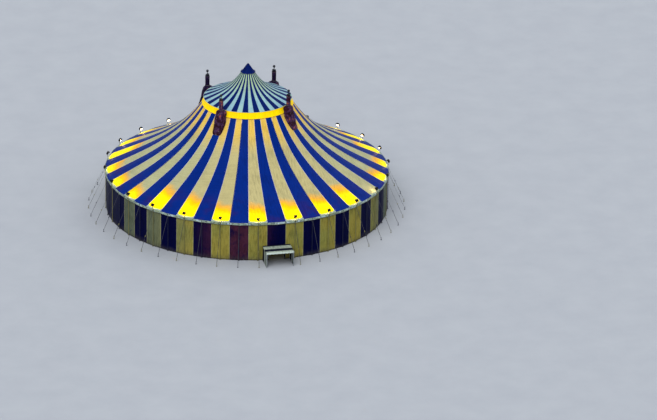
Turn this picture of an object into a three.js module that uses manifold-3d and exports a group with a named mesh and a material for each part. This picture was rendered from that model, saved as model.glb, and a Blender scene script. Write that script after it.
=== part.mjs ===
// Round circus big top: striped canopy on four lattice masts, cupola, side walls, guys and an entrance porch.
// All sizes below are those of the real tent in millimetres; the finished group is scaled to 1:2.
// The ground is z = 0, the tent's axis is Z and the entrance faces -Y.
import * as THREE from 'three';
import { mergeVertices } from 'three/addons/utils/BufferGeometryUtils.js';
import Module from 'manifold-3d';

const wasm = await Module();
wasm.setup();
const { Manifold, Mesh: SolidMesh } = wasm;

// Scale of the model and the clearance kept between neighbouring pieces
const MODEL_SCALE = 0.5;
const GAP = 0.7;

// Roof cloth
const EAVE_RADIUS = 22300;
const TRIM_DEPTH = 50;
const CANOPY_OUTER = EAVE_RADIUS - TRIM_DEPTH - GAP;
const CANOPY_INNER = 7100;
const EAVE_HEIGHT = 6213;
const EAVE_SLOPE = 0.49;
const FLARE_START = 22000;
const FLARE_RISE = 3550;
const FLARE_SPAN = 14800;
const FLARE_POWER = 4.3;
const CLOTH = 48;
const CANOPY_ROWS = 9;
const CANOPY_SPREAD = 1.45;
const GORES = 48;
const GORE_ANGLE = 360 / GORES;
const NARROW_SECTION = 5;
const WIDE_SECTION = 7;
const MAST_SLOT_OUTER = 8200;

// Collar and cupola
const COLLAR_OUTER = 7140;
const COLLAR_INNER = 6874;
const COLLAR_RISE = 961;
const COLLAR_LIFT = 35;
const CUPOLA_OUTER = 6894;
const CUPOLA_INNER = 1060;
const CUPOLA_SLOPE = 0.4;
const CUPOLA_FLARE_RISE = 1526;
const CUPOLA_FLARE_SPAN = 5600;
const CUPOLA_FLARE_POWER = 4.24;
const CUPOLA_LIFT = 44.5;
const CUPOLA_ROWS = 6;
const CUPOLA_SPREAD = 1.3;
// Half section of the cap as radius and height above its seat: down the outside, then up the inside
const CAP_PROFILE = [
  [0, 1420], [300, 880.4], [792, 420], [1100, 0], [1010, 0], [682, 360], [240, 781], [0, 1249.6]];
const CAP_SIDES = 20;

// Masts
const MAST_RADIUS = 7550;
const MAST_ANGLES = { front_right: 45, back_right: 135, back_left: 225, front_left: 315 };
const MAST_WIDTH = 400;
const MAST_CHORD = 64;
const MAST_HEIGHT = 20400;
const MAST_BAYS = 10;
const MAST_BRACE = 34;
const MAST_BASE = 900;
const MAST_BASE_THICKNESS = 60;
const MAST_CAP_WIDTH = 424;
const MAST_CAP_THICKNESS = 70;
const KNOB_RADIUS = 220;
const KNOB_HEIGHT = 20950;
const KNOB_STEM = 55;
const KNOB_STEM_SINK = 40;

// Ring truss and the sleeves that tie it to the masts
const RING_CHORD = 100;
const RING_BRACE = 50;
const RING_LOW_DROP = 20;
const RING_HIGH_DROP = 110;
const SLEEVE_WALL = 60;
const SLEEVE_HEIGHT = 150;
const SLEEVE_DROP = 150;
const SLEEVE_ARM = 70;
const SLEEVE_ARM_OFFSET = 150;

// Hoods where the masts pass through the roof
const HOOD_TOP = 20150;
const HOOD_SHOULDER = 18420;
const HOOD_NECK = 335;
const HOOD_NECK_START = 18640;
const HOOD_HALF_WIDTH = 860;
const HOOD_TAPER = 0.12;
const HOOD_SQUARENESS = 0.62;
const HOOD_IN = 7185;
const HOOD_OUT = 8980;
const HOOD_SHOULDER_HALF_WIDTH = 690;
const HOOD_SHOULDER_IN = 6920;
const HOOD_SHOULDER_OUT = 7900;
const HOOD_SAG = 0.06;
const HOOD_SIDES = 24;
const HOOD_ROWS = 2;

// Side wall, poles, guys
const WALL_OUTER = 22130;
const WALL_CLOTH = 48;
const TRIM_BOTTOM = 5935;
const TRIM_TOP = EAVE_HEIGHT + 40;
const POLE_CIRCLE = 22200;
const POLE_RADIUS = 38;
const POLE_FOOT = 220;
const POLE_FOOT_DEPTH = 150;
const POLE_FOOT_THICKNESS = 24;
const POLE_FOOT_SHIFT = 40;
const CABLE_HEIGHT = 6030;
const CABLE_WIDTH = 36;
const BELT_HEIGHT = 75;
const STAKE_CIRCLE = 24900;
const STAKE_WIDTH = 70;
const STAKE_FOOT = 200;
const STAKE_HEIGHT = 480;
const STAKE_PLATE = 30;
const STAKE_RING_HEIGHT = 330;
const STRAP_WIDTH = 60;
const STRAP_DEPTH = 26;
const LAMP_CIRCLE = 22330;
const LAMP_HEIGHT = 6960;
const LAMP_ARM_HEIGHT = 5720;
const LAMP_POST_OFFSET = 85;
const LAMP_TUBE = 40;
const LAMP_ARM_DEPTH = 50;
const LAMP_POST_DROP = 120;
const LAMP_HEAD = { width: 440, depth: 230, height: 400, tilt: -28 };
const DOOR_SPAN_ANGLE = 7.2;

// Entrance
const DOOR_WIDTH = 2400;
const DOOR_HEIGHT = 2250;
const PORCH_WIDTH = 4200;
const PORCH_HEIGHT = 2450;
const PORCH_FRONT = STAKE_CIRCLE + STAKE_FOOT / 2;
const PORCH_TUBE = 60;
const PORCH_BACK_GAP = 20;
const PORCH_CURTAIN_GAP = 40;
const PORCH_MIDDLE_SHIFT = 50;
const PORCH_FOOT = { thickness: 20, inward: 90, outward: 40, inside: 30 };
const PORCH_RAIL_INSET = 10;

const COLOURS = {
  blue: 0x0b2a86, yellow: 0xf2cf1c, pale: 0xb4c6ae, navy: 0x10123c, olive: 0x8b8540, hood: 0x35202e,
  steel: 0x8d9298, mast: 0x2b2d33, mint: 0x9fc4b4,
};

const tent = new THREE.Group();
tent.name = 'circus_big_top';

// General helpers
const rad = (deg) => deg * Math.PI / 180;

function place(angle, radius, z, lateral = 0) {
  const a = rad(angle);
  return new THREE.Vector3(
    radius * Math.sin(a) + lateral * Math.cos(a), -radius * Math.cos(a) + lateral * Math.sin(a), z);
}

// Radius of the many-sided outline with a corner in the middle of every gore, at any angle
function facetRadius(angle, corner) {
  const half = GORE_ANGLE / 2;
  const within = ((angle % GORE_ANGLE) + GORE_ANGLE) % GORE_ANGLE - half;
  return corner * Math.cos(rad(half)) / Math.cos(rad(within));
}

function addPiece(name, geometry, colour) {
  const flat = geometry.index ? geometry.toNonIndexed() : geometry;
  flat.computeVertexNormals();
  const mesh = new THREE.Mesh(flat, new THREE.MeshStandardMaterial({
    color: COLOURS[colour], roughness: 0.7, metalness: 0 }));
  mesh.name = name;
  tent.add(mesh);
  return mesh;
}

function toSolid(geometry) {
  let g = geometry.clone();
  g.deleteAttribute('normal');
  g.deleteAttribute('uv');
  g = mergeVertices(g, 1e-3);
  return new Manifold(new SolidMesh({
    numProp: 3,
    vertProperties: new Float32Array(g.attributes.position.array),
    triVerts: new Uint32Array(g.index.array),
  }));
}

function fromSolid(solid) {
  const m = solid.getMesh();
  const g = new THREE.BufferGeometry();
  const points = new Float32Array(m.numVert * 3);
  for (let i = 0; i < m.numVert; i++) {
    for (let k = 0; k < 3; k++) points[3 * i + k] = m.vertProperties[i * m.numProp + k];
  }
  g.setAttribute('position', new THREE.BufferAttribute(points, 3));
  g.setIndex(new THREE.BufferAttribute(new Uint32Array(m.triVerts), 1));
  return g;
}

function fuse(geometries) {
  let level = geometries.map(toSolid);
  while (level.length > 1) {
    const next = [];
    for (let i = 0; i < level.length; i += 2) {
      next.push(i + 1 < level.length ? level[i].add(level[i + 1]) : level[i]);
    }
    level = next;
  }
  return fromSolid(level[0]);
}

// A straight bar between two points, with a flat rectangular or many-sided section
function bar(from, to, width, depth = width, side = new THREE.Vector3(0, 0, 1)) {
  const along = to.clone().sub(from);
  const length = along.length();
  along.normalize();
  const x = new THREE.Vector3().crossVectors(side, along);
  if (x.lengthSq() < 1e-6) x.set(1, 0, 0); else x.normalize();
  const y = new THREE.Vector3().crossVectors(along, x);
  const g = new THREE.BoxGeometry(width, depth, length);
  g.translate(0, 0, length / 2);
  g.applyMatrix4(new THREE.Matrix4().makeBasis(x, y, along).setPosition(from));
  return g;
}

function box(angle, radius, lateral, z0, z1, radial, width) {
  const g = new THREE.BoxGeometry(width, radial, z1 - z0);
  g.applyMatrix4(new THREE.Matrix4().makeRotationZ(rad(angle)));
  const c = place(angle, radius, (z0 + z1) / 2, lateral);
  g.translate(c.x, c.y, c.z);
  return g;
}

// A closed sheet of cloth on a grid: point(i, j, face) gives the outer (0) and inner (1) faces,
// keep(i, j) says which cells are there
function clothSheet(columns, rows, point, keep = () => true, ring = false) {
  const verts = [];
  const tris = [];
  const wide = ring ? columns : columns + 1;
  const id = (i, j, face) => (face * (rows + 1) + j) * wide + (i % wide);
  for (let face = 0; face < 2; face++) {
    for (let j = 0; j <= rows; j++) {
      for (let i = 0; i < wide; i++) verts.push(...point(i, j, face).toArray());
    }
  }
  const quad = (a, b, c, d) => tris.push(a, b, c, a, c, d);
  const has = (i, j) => {
    if (j < 0 || j >= rows) return false;
    if (ring) return keep((i + columns) % columns, j);
    return i >= 0 && i < columns && keep(i, j);
  };
  for (let j = 0; j < rows; j++) {
    for (let i = 0; i < columns; i++) {
      if (!has(i, j)) continue;
      quad(id(i, j, 0), id(i + 1, j, 0), id(i + 1, j + 1, 0), id(i, j + 1, 0));
      quad(id(i, j, 1), id(i, j + 1, 1), id(i + 1, j + 1, 1), id(i + 1, j, 1));
      if (!has(i, j - 1)) quad(id(i, j, 1), id(i + 1, j, 1), id(i + 1, j, 0), id(i, j, 0));
      if (!has(i, j + 1)) quad(id(i, j + 1, 0), id(i + 1, j + 1, 0), id(i + 1, j + 1, 1), id(i, j + 1, 1));
      if (!has(i - 1, j)) quad(id(i, j, 0), id(i, j + 1, 0), id(i, j + 1, 1), id(i, j, 1));
      if (!has(i + 1, j)) quad(id(i + 1, j, 1), id(i + 1, j + 1, 1), id(i + 1, j + 1, 0), id(i + 1, j, 0));
    }
  }
  const g = new THREE.BufferGeometry();
  g.setAttribute('position', new THREE.BufferAttribute(new Float32Array(verts), 3));
  g.setIndex(tris);
  return signedVolume(g) < 0 ? turnedOver(g) : g;
}

function signedVolume(g) {
  const p = g.attributes.position;
  const at = (k) => new THREE.Vector3().fromBufferAttribute(p, g.index.getX(k));
  let v = 0;
  for (let k = 0; k < g.index.count; k += 3) v += at(k).dot(at(k + 1).cross(at(k + 2))) / 6;
  return v;
}

function turnedOver(g) {
  const t = Array.from(g.index.array);
  for (let k = 0; k < t.length; k += 3) [t[k + 1], t[k + 2]] = [t[k + 2], t[k + 1]];
  g.setIndex(t);
  return g;
}

// Height of the roof cloth's outer face at a corner radius
const canopyHeight = (r) => {
  const flare = Math.max(0, FLARE_START - r) / FLARE_SPAN;
  return EAVE_HEIGHT + EAVE_SLOPE * (EAVE_RADIUS - r) + FLARE_RISE * flare ** FLARE_POWER;
};
const collarBottom = canopyHeight(CANOPY_INNER) + COLLAR_LIFT + GAP;
const collarHeight = (r) => collarBottom
  + (COLLAR_OUTER - r) * COLLAR_RISE / (COLLAR_OUTER - COLLAR_INNER);
const cupolaEdge = collarHeight(COLLAR_INNER) + CUPOLA_LIFT + GAP;
const cupolaHeight = (r) => {
  const d = CUPOLA_OUTER - r;
  return cupolaEdge + CUPOLA_SLOPE * d + CUPOLA_FLARE_RISE * (d / CUPOLA_FLARE_SPAN) ** CUPOLA_FLARE_POWER;
};

// The inner face of a roof cloth whose outer face follows a profile of radius and height
function profileFaces(radii, height, cloth) {
  const outer = radii.map((r) => [r, height(r)]);
  const inner = outer.map(([r, z], k) => {
    const a = outer[Math.max(0, k - 1)];
    const b = outer[Math.min(outer.length - 1, k + 1)];
    const dr = b[0] - a[0];
    const dz = b[1] - a[1];
    const n = Math.hypot(dr, dz) * Math.sign(dr);
    return [r + cloth * dz / n, z - cloth * dr / n];
  });
  return [outer, inner];
}

// Stations close together where the flare is steep and far apart near the eave
const canopyRadii = [];
for (let j = 0; j <= CANOPY_ROWS; j++) {
  const t = j / CANOPY_ROWS;
  canopyRadii.push(CANOPY_INNER + (CANOPY_OUTER - CANOPY_INNER) * t ** CANOPY_SPREAD);
}
canopyRadii[2] = MAST_SLOT_OUTER;
canopyRadii[1] = (CANOPY_INNER + MAST_SLOT_OUTER) / 2;
const canopyFaces = profileFaces(canopyRadii, canopyHeight, CLOTH);

// Height of the canopy's outer face (0) or underside (1) at a corner radius
function faceHeight(r, face) {
  const f = canopyFaces[face];
  for (let k = 1; k < f.length; k++) {
    if (r <= f[k][0] || k === f.length - 1) {
      const t = (r - f[k - 1][0]) / (f[k][0] - f[k - 1][0]);
      return f[k - 1][1] + t * (f[k][1] - f[k - 1][1]);
    }
  }
  return f[0][1];
}

// The column angles of a piece that covers some gores: its two edges, every corner, and any others
function columnAngles(centre, gores, others = []) {
  const start = centre - gores * GORE_ANGLE / 2;
  const list = [start, ...others];
  for (let k = 0; k < gores; k++) list.push(start + (k + 0.5) * GORE_ANGLE);
  list.push(start + gores * GORE_ANGLE);
  return list.sort((a, b) => a - b);
}

// A point on the many-sided outline; the two edges are shifted to leave the gap to the neighbours
function outlinePoint(angles, i, corner, z) {
  const last = angles.length - 1;
  const shift = i === 0 ? GAP / 2 : (i === last ? -GAP / 2 : 0);
  return place(angles[i], facetRadius(angles[i], corner), z, shift);
}

// Canopy sections: five and seven gores by turns, the wide ones with a slot for a mast
const sections = [];
for (let k = 0; k < 8; k++) {
  const gores = k % 2 ? WIDE_SECTION : NARROW_SECTION;
  sections.push({ centre: 45 * k, gores, label: ['front', 'front_right', 'right', 'back_right', 'back',
    'back_left', 'left', 'front_left'][k] });
}

for (const s of sections) {
  const wide = s.gores === WIDE_SECTION;
  const half = GORE_ANGLE / 2;
  const angles = columnAngles(s.centre, s.gores, wide ? [s.centre - half, s.centre + half] : []);
  const inSlot = (i, j) => wide && j < 2
    && angles[i] > s.centre - half - 1 && angles[i + 1] < s.centre + half + 1;
  const g = clothSheet(angles.length - 1, CANOPY_ROWS, (i, j, face) => {
    const [r, z] = canopyFaces[face][j];
    return outlinePoint(angles, i, r, z);
  }, (i, j) => !inSlot(i, j));
  addPiece(`canopy_section_${s.label}`, g, 'blue');
}

// Ring collar
{
  const faces = profileFaces([COLLAR_INNER, COLLAR_OUTER], collarHeight, CLOTH);
  const g = clothSheet(GORES, 1, (i, j, face) => {
    const [r, z] = faces[face][j];
    return place(i * GORE_ANGLE, r, z);
  }, () => true, true);
  addPiece('ring_collar', g, 'yellow');
}

// Cupola canopy and its cap
{
  const radii = [];
  for (let j = 0; j <= CUPOLA_ROWS; j++) {
    radii.push(CUPOLA_INNER + (CUPOLA_OUTER - CUPOLA_INNER) * (j / CUPOLA_ROWS) ** CUPOLA_SPREAD);
  }
  const faces = profileFaces(radii, cupolaHeight, CLOTH);
  const g = clothSheet(GORES, CUPOLA_ROWS, (i, j, face) => {
    const [r, z] = faces[face][j];
    return place(i * GORE_ANGLE, r, z);
  }, () => true, true);
  addPiece('cupola_canopy', g, 'mint');

  const seat = cupolaHeight(CUPOLA_INNER) + GAP;
  const section = CAP_PROFILE.map(([r, z]) => new THREE.Vector2(r, seat + z));
  const lathe = new THREE.LatheGeometry(section.reverse(), CAP_SIDES);
  lathe.rotateX(Math.PI / 2);
  addPiece('cupola_cap', fromSolid(toSolid(lathe)), 'navy');
}

// Lattice masts
function latticeMast() {
  const angle = 0;
  const parts = [];
  const half = MAST_WIDTH / 2 - MAST_CHORD / 2;
  const corners = [[-1, -1], [1, -1], [1, 1], [-1, 1]];
  const low = MAST_BASE_THICKNESS / 2;
  const high = MAST_HEIGHT - MAST_CAP_THICKNESS / 2;
  const at = ([a, b], z) => place(angle, MAST_RADIUS + b * half, z, a * half);
  parts.push(box(angle, MAST_RADIUS, 0, 0, MAST_BASE_THICKNESS, MAST_BASE, MAST_BASE));
  parts.push(box(angle, MAST_RADIUS, 0, MAST_HEIGHT - MAST_CAP_THICKNESS, MAST_HEIGHT,
    MAST_CAP_WIDTH, MAST_CAP_WIDTH));
  for (const [a, b] of corners) {
    parts.push(box(angle, MAST_RADIUS + b * half, a * half, low, high, MAST_CHORD, MAST_CHORD));
  }
  const bay = (high - low) / MAST_BAYS;
  for (let n = 0; n < MAST_BAYS; n++) {
    for (let f = 0; f < 4; f++) {
      const first = corners[(f + n % 2) % 4];
      const second = corners[(f + 1 - n % 2) % 4];
      parts.push(bar(at(first, low + n * bay), at(second, low + (n + 1) * bay), MAST_BRACE));
    }
  }
  const stemFoot = MAST_HEIGHT - KNOB_STEM_SINK;
  const stem = new THREE.CylinderGeometry(KNOB_STEM, KNOB_STEM, KNOB_HEIGHT - stemFoot, 6);
  stem.rotateX(Math.PI / 2);
  const c = place(angle, MAST_RADIUS, (KNOB_HEIGHT + stemFoot) / 2);
  stem.translate(c.x, c.y, c.z);
  const knob = new THREE.SphereGeometry(KNOB_RADIUS, 8, 5).rotateX(Math.PI / 2);
  knob.translate(c.x, c.y, KNOB_HEIGHT);
  parts.push(stem, knob);
  return fuse(parts);
}
const mastGeometry = latticeMast();
for (const [label, angle] of Object.entries(MAST_ANGLES)) {
  addPiece(`mast_${label}`, mastGeometry.clone().rotateZ(rad(angle)), 'mast');
}

// Ring truss: two chords with zigzag bars, and a sleeve on each mast
{
  const inner = canopyFaces[1][0];
  const chord = RING_CHORD;
  const low = [inner[0] - GAP - chord / 2, inner[1] - RING_LOW_DROP];
  const lean = (COLLAR_OUTER - COLLAR_INNER) / COLLAR_RISE;
  const behind = (CLOTH + GAP) * Math.hypot(1, lean) + chord / 2 - (RING_HIGH_DROP - chord / 2) * lean;
  const high = [COLLAR_INNER - behind, collarHeight(COLLAR_INNER) - RING_HIGH_DROP];
  const parts = [];
  for (const [r, z] of [low, high]) {
    parts.push(clothSheet(GORES, 1, (i, j, face) => place(i * GORE_ANGLE, r + (face ? -0.5 : 0.5) * chord,
      z + (j ? 0.5 : -0.5) * chord), () => true, true));
  }
  const step = 2 * GORE_ANGLE;
  for (let k = 0; k < GORES / 2; k++) {
    const a = k % 2 ? high : low;
    const b = k % 2 ? low : high;
    parts.push(bar(place(k * step, a[0], a[1]), place((k + 1) * step, b[0], b[1]), RING_BRACE));
  }
  const clear = MAST_WIDTH / 2 + GAP;
  const wall = SLEEVE_WALL;
  const middle = clear + wall / 2;
  const span = 2 * (clear + wall);
  const z1 = canopyHeight(MAST_RADIUS - middle) - SLEEVE_DROP;
  const z0 = z1 - SLEEVE_HEIGHT;
  for (const angle of Object.values(MAST_ANGLES)) {
    parts.push(box(angle, MAST_RADIUS - middle, 0, z0, z1, wall, span));
    parts.push(box(angle, MAST_RADIUS + middle, 0, z0, z1, wall, span));
    parts.push(box(angle, MAST_RADIUS, middle, z0, z1, span, wall));
    parts.push(box(angle, MAST_RADIUS, -middle, z0, z1, span, wall));
    for (const side of [-SLEEVE_ARM_OFFSET, SLEEVE_ARM_OFFSET]) {
      const end = place(angle, MAST_RADIUS - middle, (z0 + z1) / 2, side);
      parts.push(bar(place(angle, low[0], low[1], side), end, SLEEVE_ARM));
    }
  }
  addPiece('ring_truss', fuse(parts), 'steel');
}

// Mast hoods: a boot from a rounded oblong on the roof up to a shoulder, and a sleeve on the mast
function roofHeight(angle, u, v) {
  const a = angle + Math.atan2(v, u) * 180 / Math.PI;
  return faceHeight(Math.hypot(u, v) * EAVE_RADIUS / facetRadius(a, EAVE_RADIUS), 0);
}
function mastHood(angle) {
  const rounded = (x) => Math.sign(x) * Math.abs(x) ** HOOD_SQUARENESS;
  const oblong = (c, s, inEnd, outEnd, halfWidth) => {
    const u = (inEnd + outEnd) / 2 + (outEnd - inEnd) / 2 * rounded(c);
    return [u, halfWidth * (1 - HOOD_TAPER * ((u - inEnd) / (outEnd - inEnd)) ** 2) * rounded(s)];
  };
  const drawnIn = ([u, v], inset) => {
    const keep = 1 - inset / Math.hypot(u - MAST_RADIUS, v);
    return [MAST_RADIUS + (u - MAST_RADIUS) * keep, v * keep];
  };
  const outline = [];
  for (let i = 0; i < HOOD_SIDES; i++) {
    const t = i / HOOD_SIDES * 2 * Math.PI;
    const c = Math.cos(t);
    const s = i % (HOOD_SIDES / 2) ? Math.sin(t) : 0;
    outline.push([0, CLOTH].map((inset) => {
      const [bu, bv] = drawnIn(oblong(c, s, HOOD_IN, HOOD_OUT, HOOD_HALF_WIDTH), inset);
      const [su, sv] = drawnIn(
        oblong(c, s, HOOD_SHOULDER_IN, HOOD_SHOULDER_OUT, HOOD_SHOULDER_HALF_WIDTH), inset);
      const neck = HOOD_NECK - inset;
      return {
        base: place(angle, bu, roofHeight(angle, bu, bv) + 2 * GAP, bv),
        shoulder: place(angle, su, HOOD_SHOULDER - inset / 2, sv),
        neck: place(angle, MAST_RADIUS + neck * c, HOOD_NECK_START - inset / 2, neck * s),
        top: place(angle, MAST_RADIUS + neck * c, HOOD_TOP, neck * s),
      };
    }));
  }
  return clothSheet(HOOD_SIDES, HOOD_ROWS + 2, (i, j, face) => {
    const { base, shoulder, neck, top } = outline[i][face];
    if (j > HOOD_ROWS) return j > HOOD_ROWS + 1 ? top : neck;
    const t = j / HOOD_ROWS;
    const p = base.clone().lerp(shoulder, t);
    return p.lerp(place(angle, MAST_RADIUS, p.z), HOOD_SAG * Math.sin(Math.PI * t));
  }, () => true, true);
}
for (const [label, angle] of Object.entries(MAST_ANGLES)) {
  addPiece(`mast_hood_${label}`, mastHood(angle), 'hood');
}

// Quarters of the eave: front and back with eleven pole places, the sides with thirteen
const quarters = [
  { label: 'front', centre: 0, places: 11 }, { label: 'right', centre: 90, places: 13 },
  { label: 'back', centre: 180, places: 11 }, { label: 'left', centre: 270, places: 13 }];

// Stretches of the eave that carry poles and guys, with a clear span over the doorway
const quarterEdges = (q) => [q.centre - q.places * GORE_ANGLE / 2, q.centre + q.places * GORE_ANGLE / 2];
const frontEdge = quarterEdges(quarters[0])[1];
const stretches = [
  { label: 'front_left', edges: [-frontEdge, -DOOR_SPAN_ANGLE] },
  { label: 'front_right', edges: [DOOR_SPAN_ANGLE, frontEdge] },
  ...quarters.slice(1).map((q) => ({ label: q.label, edges: quarterEdges(q) }))];
const placeAngles = ([from, to]) => {
  const list = [];
  for (let k = Math.ceil(from / GORE_ANGLE); k * GORE_ANGLE < to; k++) list.push(k * GORE_ANGLE);
  return list;
};

// A band of constant height that follows the eave from one angle to another
function eaveBand([from, to], rOuter, rInner, z0, z1) {
  const angles = [from, ...placeAngles([from, to]), to];
  return clothSheet(angles.length - 1, 1, (i, j, face) => outlinePoint(
    angles, i, face ? rInner : rOuter, j ? z1 : z0));
}

for (const q of quarters) {
  addPiece(`eave_trim_${q.label}`,
    eaveBand(quarterEdges(q), EAVE_RADIUS, EAVE_RADIUS - TRIM_DEPTH, TRIM_BOTTOM, TRIM_TOP), 'pale');
}

// Side walls; the front one is two plain stretches and, between them, the panel with the doorway
const doorAngle = Math.asin(DOOR_WIDTH / 2 / WALL_OUTER) * 180 / Math.PI;
const wallPieces = sections.filter((s) => s.label !== 'front')
  .map((s) => ({ name: `wall_section_${s.label}`, centre: s.centre, gores: s.gores }));
wallPieces.push({ name: 'doorway_panel', centre: 0, gores: 1 },
  { name: 'wall_panels_left_of_door', centre: -1.5 * GORE_ANGLE, gores: (NARROW_SECTION - 1) / 2 },
  { name: 'wall_panels_right_of_door', centre: 1.5 * GORE_ANGLE, gores: (NARROW_SECTION - 1) / 2 });
for (const s of wallPieces) {
  const door = s.name === 'doorway_panel';
  const angles = columnAngles(s.centre, s.gores, door ? [-doorAngle, doorAngle] : []);
  const g = clothSheet(angles.length - 1, door ? 2 : 1, (i, j, face) => {
    const corner = WALL_OUTER - (face ? WALL_CLOTH : 0);
    const top = faceHeight(corner, 1) - GAP;
    const z = j === 0 ? 0 : (door && j === 1 ? DOOR_HEIGHT : top);
    return outlinePoint(angles, i, corner, z);
  }, (i, j) => !(door && j === 0 && angles[i] > -doorAngle - 0.01 && angles[i + 1] < doorAngle + 0.01));
  addPiece(s.name, g, 'navy');
}

// Side poles with their eave cable, brackets and floodlights
const poleTop = canopyFaces[1][CANOPY_ROWS][1] - GAP;
function sidePole(angle) {
  const low = POLE_FOOT_THICKNESS / 2;
  const p = place(angle, POLE_CIRCLE, (poleTop + low) / 2);
  const pole = new THREE.CylinderGeometry(POLE_RADIUS, POLE_RADIUS, poleTop - low, 6).rotateX(Math.PI / 2);
  pole.translate(p.x, p.y, p.z);
  const foot = box(angle, POLE_CIRCLE + POLE_FOOT_SHIFT, 0, 0, POLE_FOOT_THICKNESS,
    POLE_FOOT_DEPTH, POLE_FOOT);
  return [pole, foot];
}
function floodlight(angle) {
  const low = LAMP_ARM_HEIGHT;
  const high = low + LAMP_ARM_DEPTH;
  const side = LAMP_POST_OFFSET;
  const tube = LAMP_TUBE;
  const cross = box(angle, POLE_CIRCLE, side / 2, low, high, tube, side + tube);
  const arm = box(angle, (POLE_CIRCLE + LAMP_CIRCLE) / 2, side, low, high,
    LAMP_CIRCLE - POLE_CIRCLE + tube, tube);
  const post = box(angle, LAMP_CIRCLE, side, low, LAMP_HEIGHT - LAMP_POST_DROP, tube, tube);
  const head = new THREE.BoxGeometry(LAMP_HEAD.width, LAMP_HEAD.depth, LAMP_HEAD.height);
  head.rotateX(rad(LAMP_HEAD.tilt));
  head.rotateZ(rad(angle));
  const c = place(angle, LAMP_CIRCLE, LAMP_HEIGHT);
  head.translate(c.x, c.y, c.z);
  return [cross, arm, post, head];
}
const plainPole = fuse(sidePole(0));
const litPole = fuse([...sidePole(0), ...floodlight(0)]);
const cableBand = (edges) => eaveBand(edges, POLE_CIRCLE + CABLE_WIDTH / 2, POLE_CIRCLE - CABLE_WIDTH / 2,
  CABLE_HEIGHT - CABLE_WIDTH / 2, CABLE_HEIGHT + CABLE_WIDTH / 2);
for (const s of stretches) {
  const parts = [cableBand(s.edges)];
  for (const angle of placeAngles(s.edges)) {
    const lit = Math.abs(Math.round(angle / GORE_ANGLE)) % 2;
    parts.push((lit ? litPole : plainPole).clone().rotateZ(rad(angle)));
  }
  addPiece(`side_poles_${s.label}`, fuse(parts), 'steel');
}
addPiece('eave_cable_over_door', cableBand([-DOOR_SPAN_ANGLE, DOOR_SPAN_ANGLE]), 'steel');

// Guy sets: eave belt, straps and ground stakes
function guy(angle, beltRadius, beltMiddle) {
  const head = place(angle, beltRadius, beltMiddle);
  const ring = place(angle, STAKE_CIRCLE, STAKE_RING_HEIGHT);
  const across = place(angle, 0, 0, 1);
  const strap = bar(head, ring, STRAP_DEPTH, STRAP_WIDTH, across);
  const foot = box(angle, STAKE_CIRCLE, 0, 0, STAKE_PLATE, STAKE_FOOT, STAKE_FOOT);
  const stake = box(angle, STAKE_CIRCLE, 0, STAKE_PLATE / 2, STAKE_HEIGHT, STAKE_WIDTH, STAKE_WIDTH);
  return [strap, foot, stake];
}
const beltTop = TRIM_BOTTOM - GAP;
const guyUnit = fuse(guy(0, EAVE_RADIUS - TRIM_DEPTH / 2, beltTop - BELT_HEIGHT / 2));
const beltBand = (edges) => eaveBand(
  edges, EAVE_RADIUS, EAVE_RADIUS - TRIM_DEPTH, beltTop - BELT_HEIGHT, beltTop);
for (const s of stretches) {
  const parts = [beltBand(s.edges)];
  for (const angle of placeAngles(s.edges)) parts.push(guyUnit.clone().rotateZ(rad(angle)));
  addPiece(`guy_set_${s.label}`, fuse(parts), 'pale');
}
addPiece('eave_belt_over_door', beltBand([-DOOR_SPAN_ANGLE, DOOR_SPAN_ANGLE]), 'pale');

// Entrance porch: frame of square tube, flat roof and two side curtains
{
  const half = PORCH_WIDTH / 2;
  const t = PORCH_TUBE;
  const back = WALL_OUTER * Math.cos(Math.asin(half / WALL_OUTER)) + PORCH_CURTAIN_GAP;
  const wallFace = WALL_OUTER + GAP;
  const front = PORCH_FRONT;
  const top = PORCH_HEIGHT - CLOTH - GAP;
  const block = (x0, x1, y0, y1, z0, z1) => {
    const g = new THREE.BoxGeometry(x1 - x0, y1 - y0, z1 - z0);
    g.translate((x0 + x1) / 2, (y0 + y1) / 2, (z0 + z1) / 2);
    return g;
  };
  const parts = [];
  const frameBack = wallFace + PORCH_BACK_GAP;
  const posts = [front - t / 2, (front + wallFace) / 2 + PORCH_MIDDLE_SHIFT, frameBack + t / 2];
  const foot = PORCH_FOOT;
  for (const x of [-half + t / 2, half - t / 2]) {
    for (const y of posts) {
      parts.push(block(x - t / 2, x + t / 2, -y - t / 2, -y + t / 2, 0, top));
      const outward = y === posts[0] ? 0 : foot.outward;
      const inner = x - Math.sign(x) * foot.inward;
      const side = x + Math.sign(x) * t / 2;
      parts.push(block(Math.min(inner, side), Math.max(inner, side),
        -y - t / 2 - outward, -y + t / 2 + foot.inside, 0, foot.thickness));
    }
    parts.push(block(x - t / 2, x + t / 2, -front, -frameBack, top - t, top));
  }
  const rail = half - PORCH_RAIL_INSET;
  for (const y of posts) parts.push(block(-rail, rail, -y - t / 2, -y + t / 2, top - t, top));
  addPiece('porch_frame', fuse(parts), 'steel');
  const roof = block(-half - CLOTH, half + CLOTH, -front, -wallFace, top + GAP, PORCH_HEIGHT);
  addPiece('porch_roof', roof, 'mint');
  for (const [label, sign] of [['left', -1], ['right', 1]]) {
    const x0 = sign * (half + GAP);
    const x1 = sign * (half + CLOTH);
    addPiece(`porch_curtain_${label}`,
      block(Math.min(x0, x1), Math.max(x0, x1), -front, -back, 0, top), 'navy');
  }
}

tent.scale.setScalar(MODEL_SCALE);
tent.updateMatrixWorld(true);

export default tent;
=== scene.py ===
"""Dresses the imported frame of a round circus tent: striped cloths, masts, poles, guys, lamps and porch.

All lengths are metres of the 1:2 model. Angles go round the tent in degrees, from 0 at the entrance
(-Y) through 90 at +X. The radius of an outline is that of its corners, which lie on the gores' middles.
"""

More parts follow.
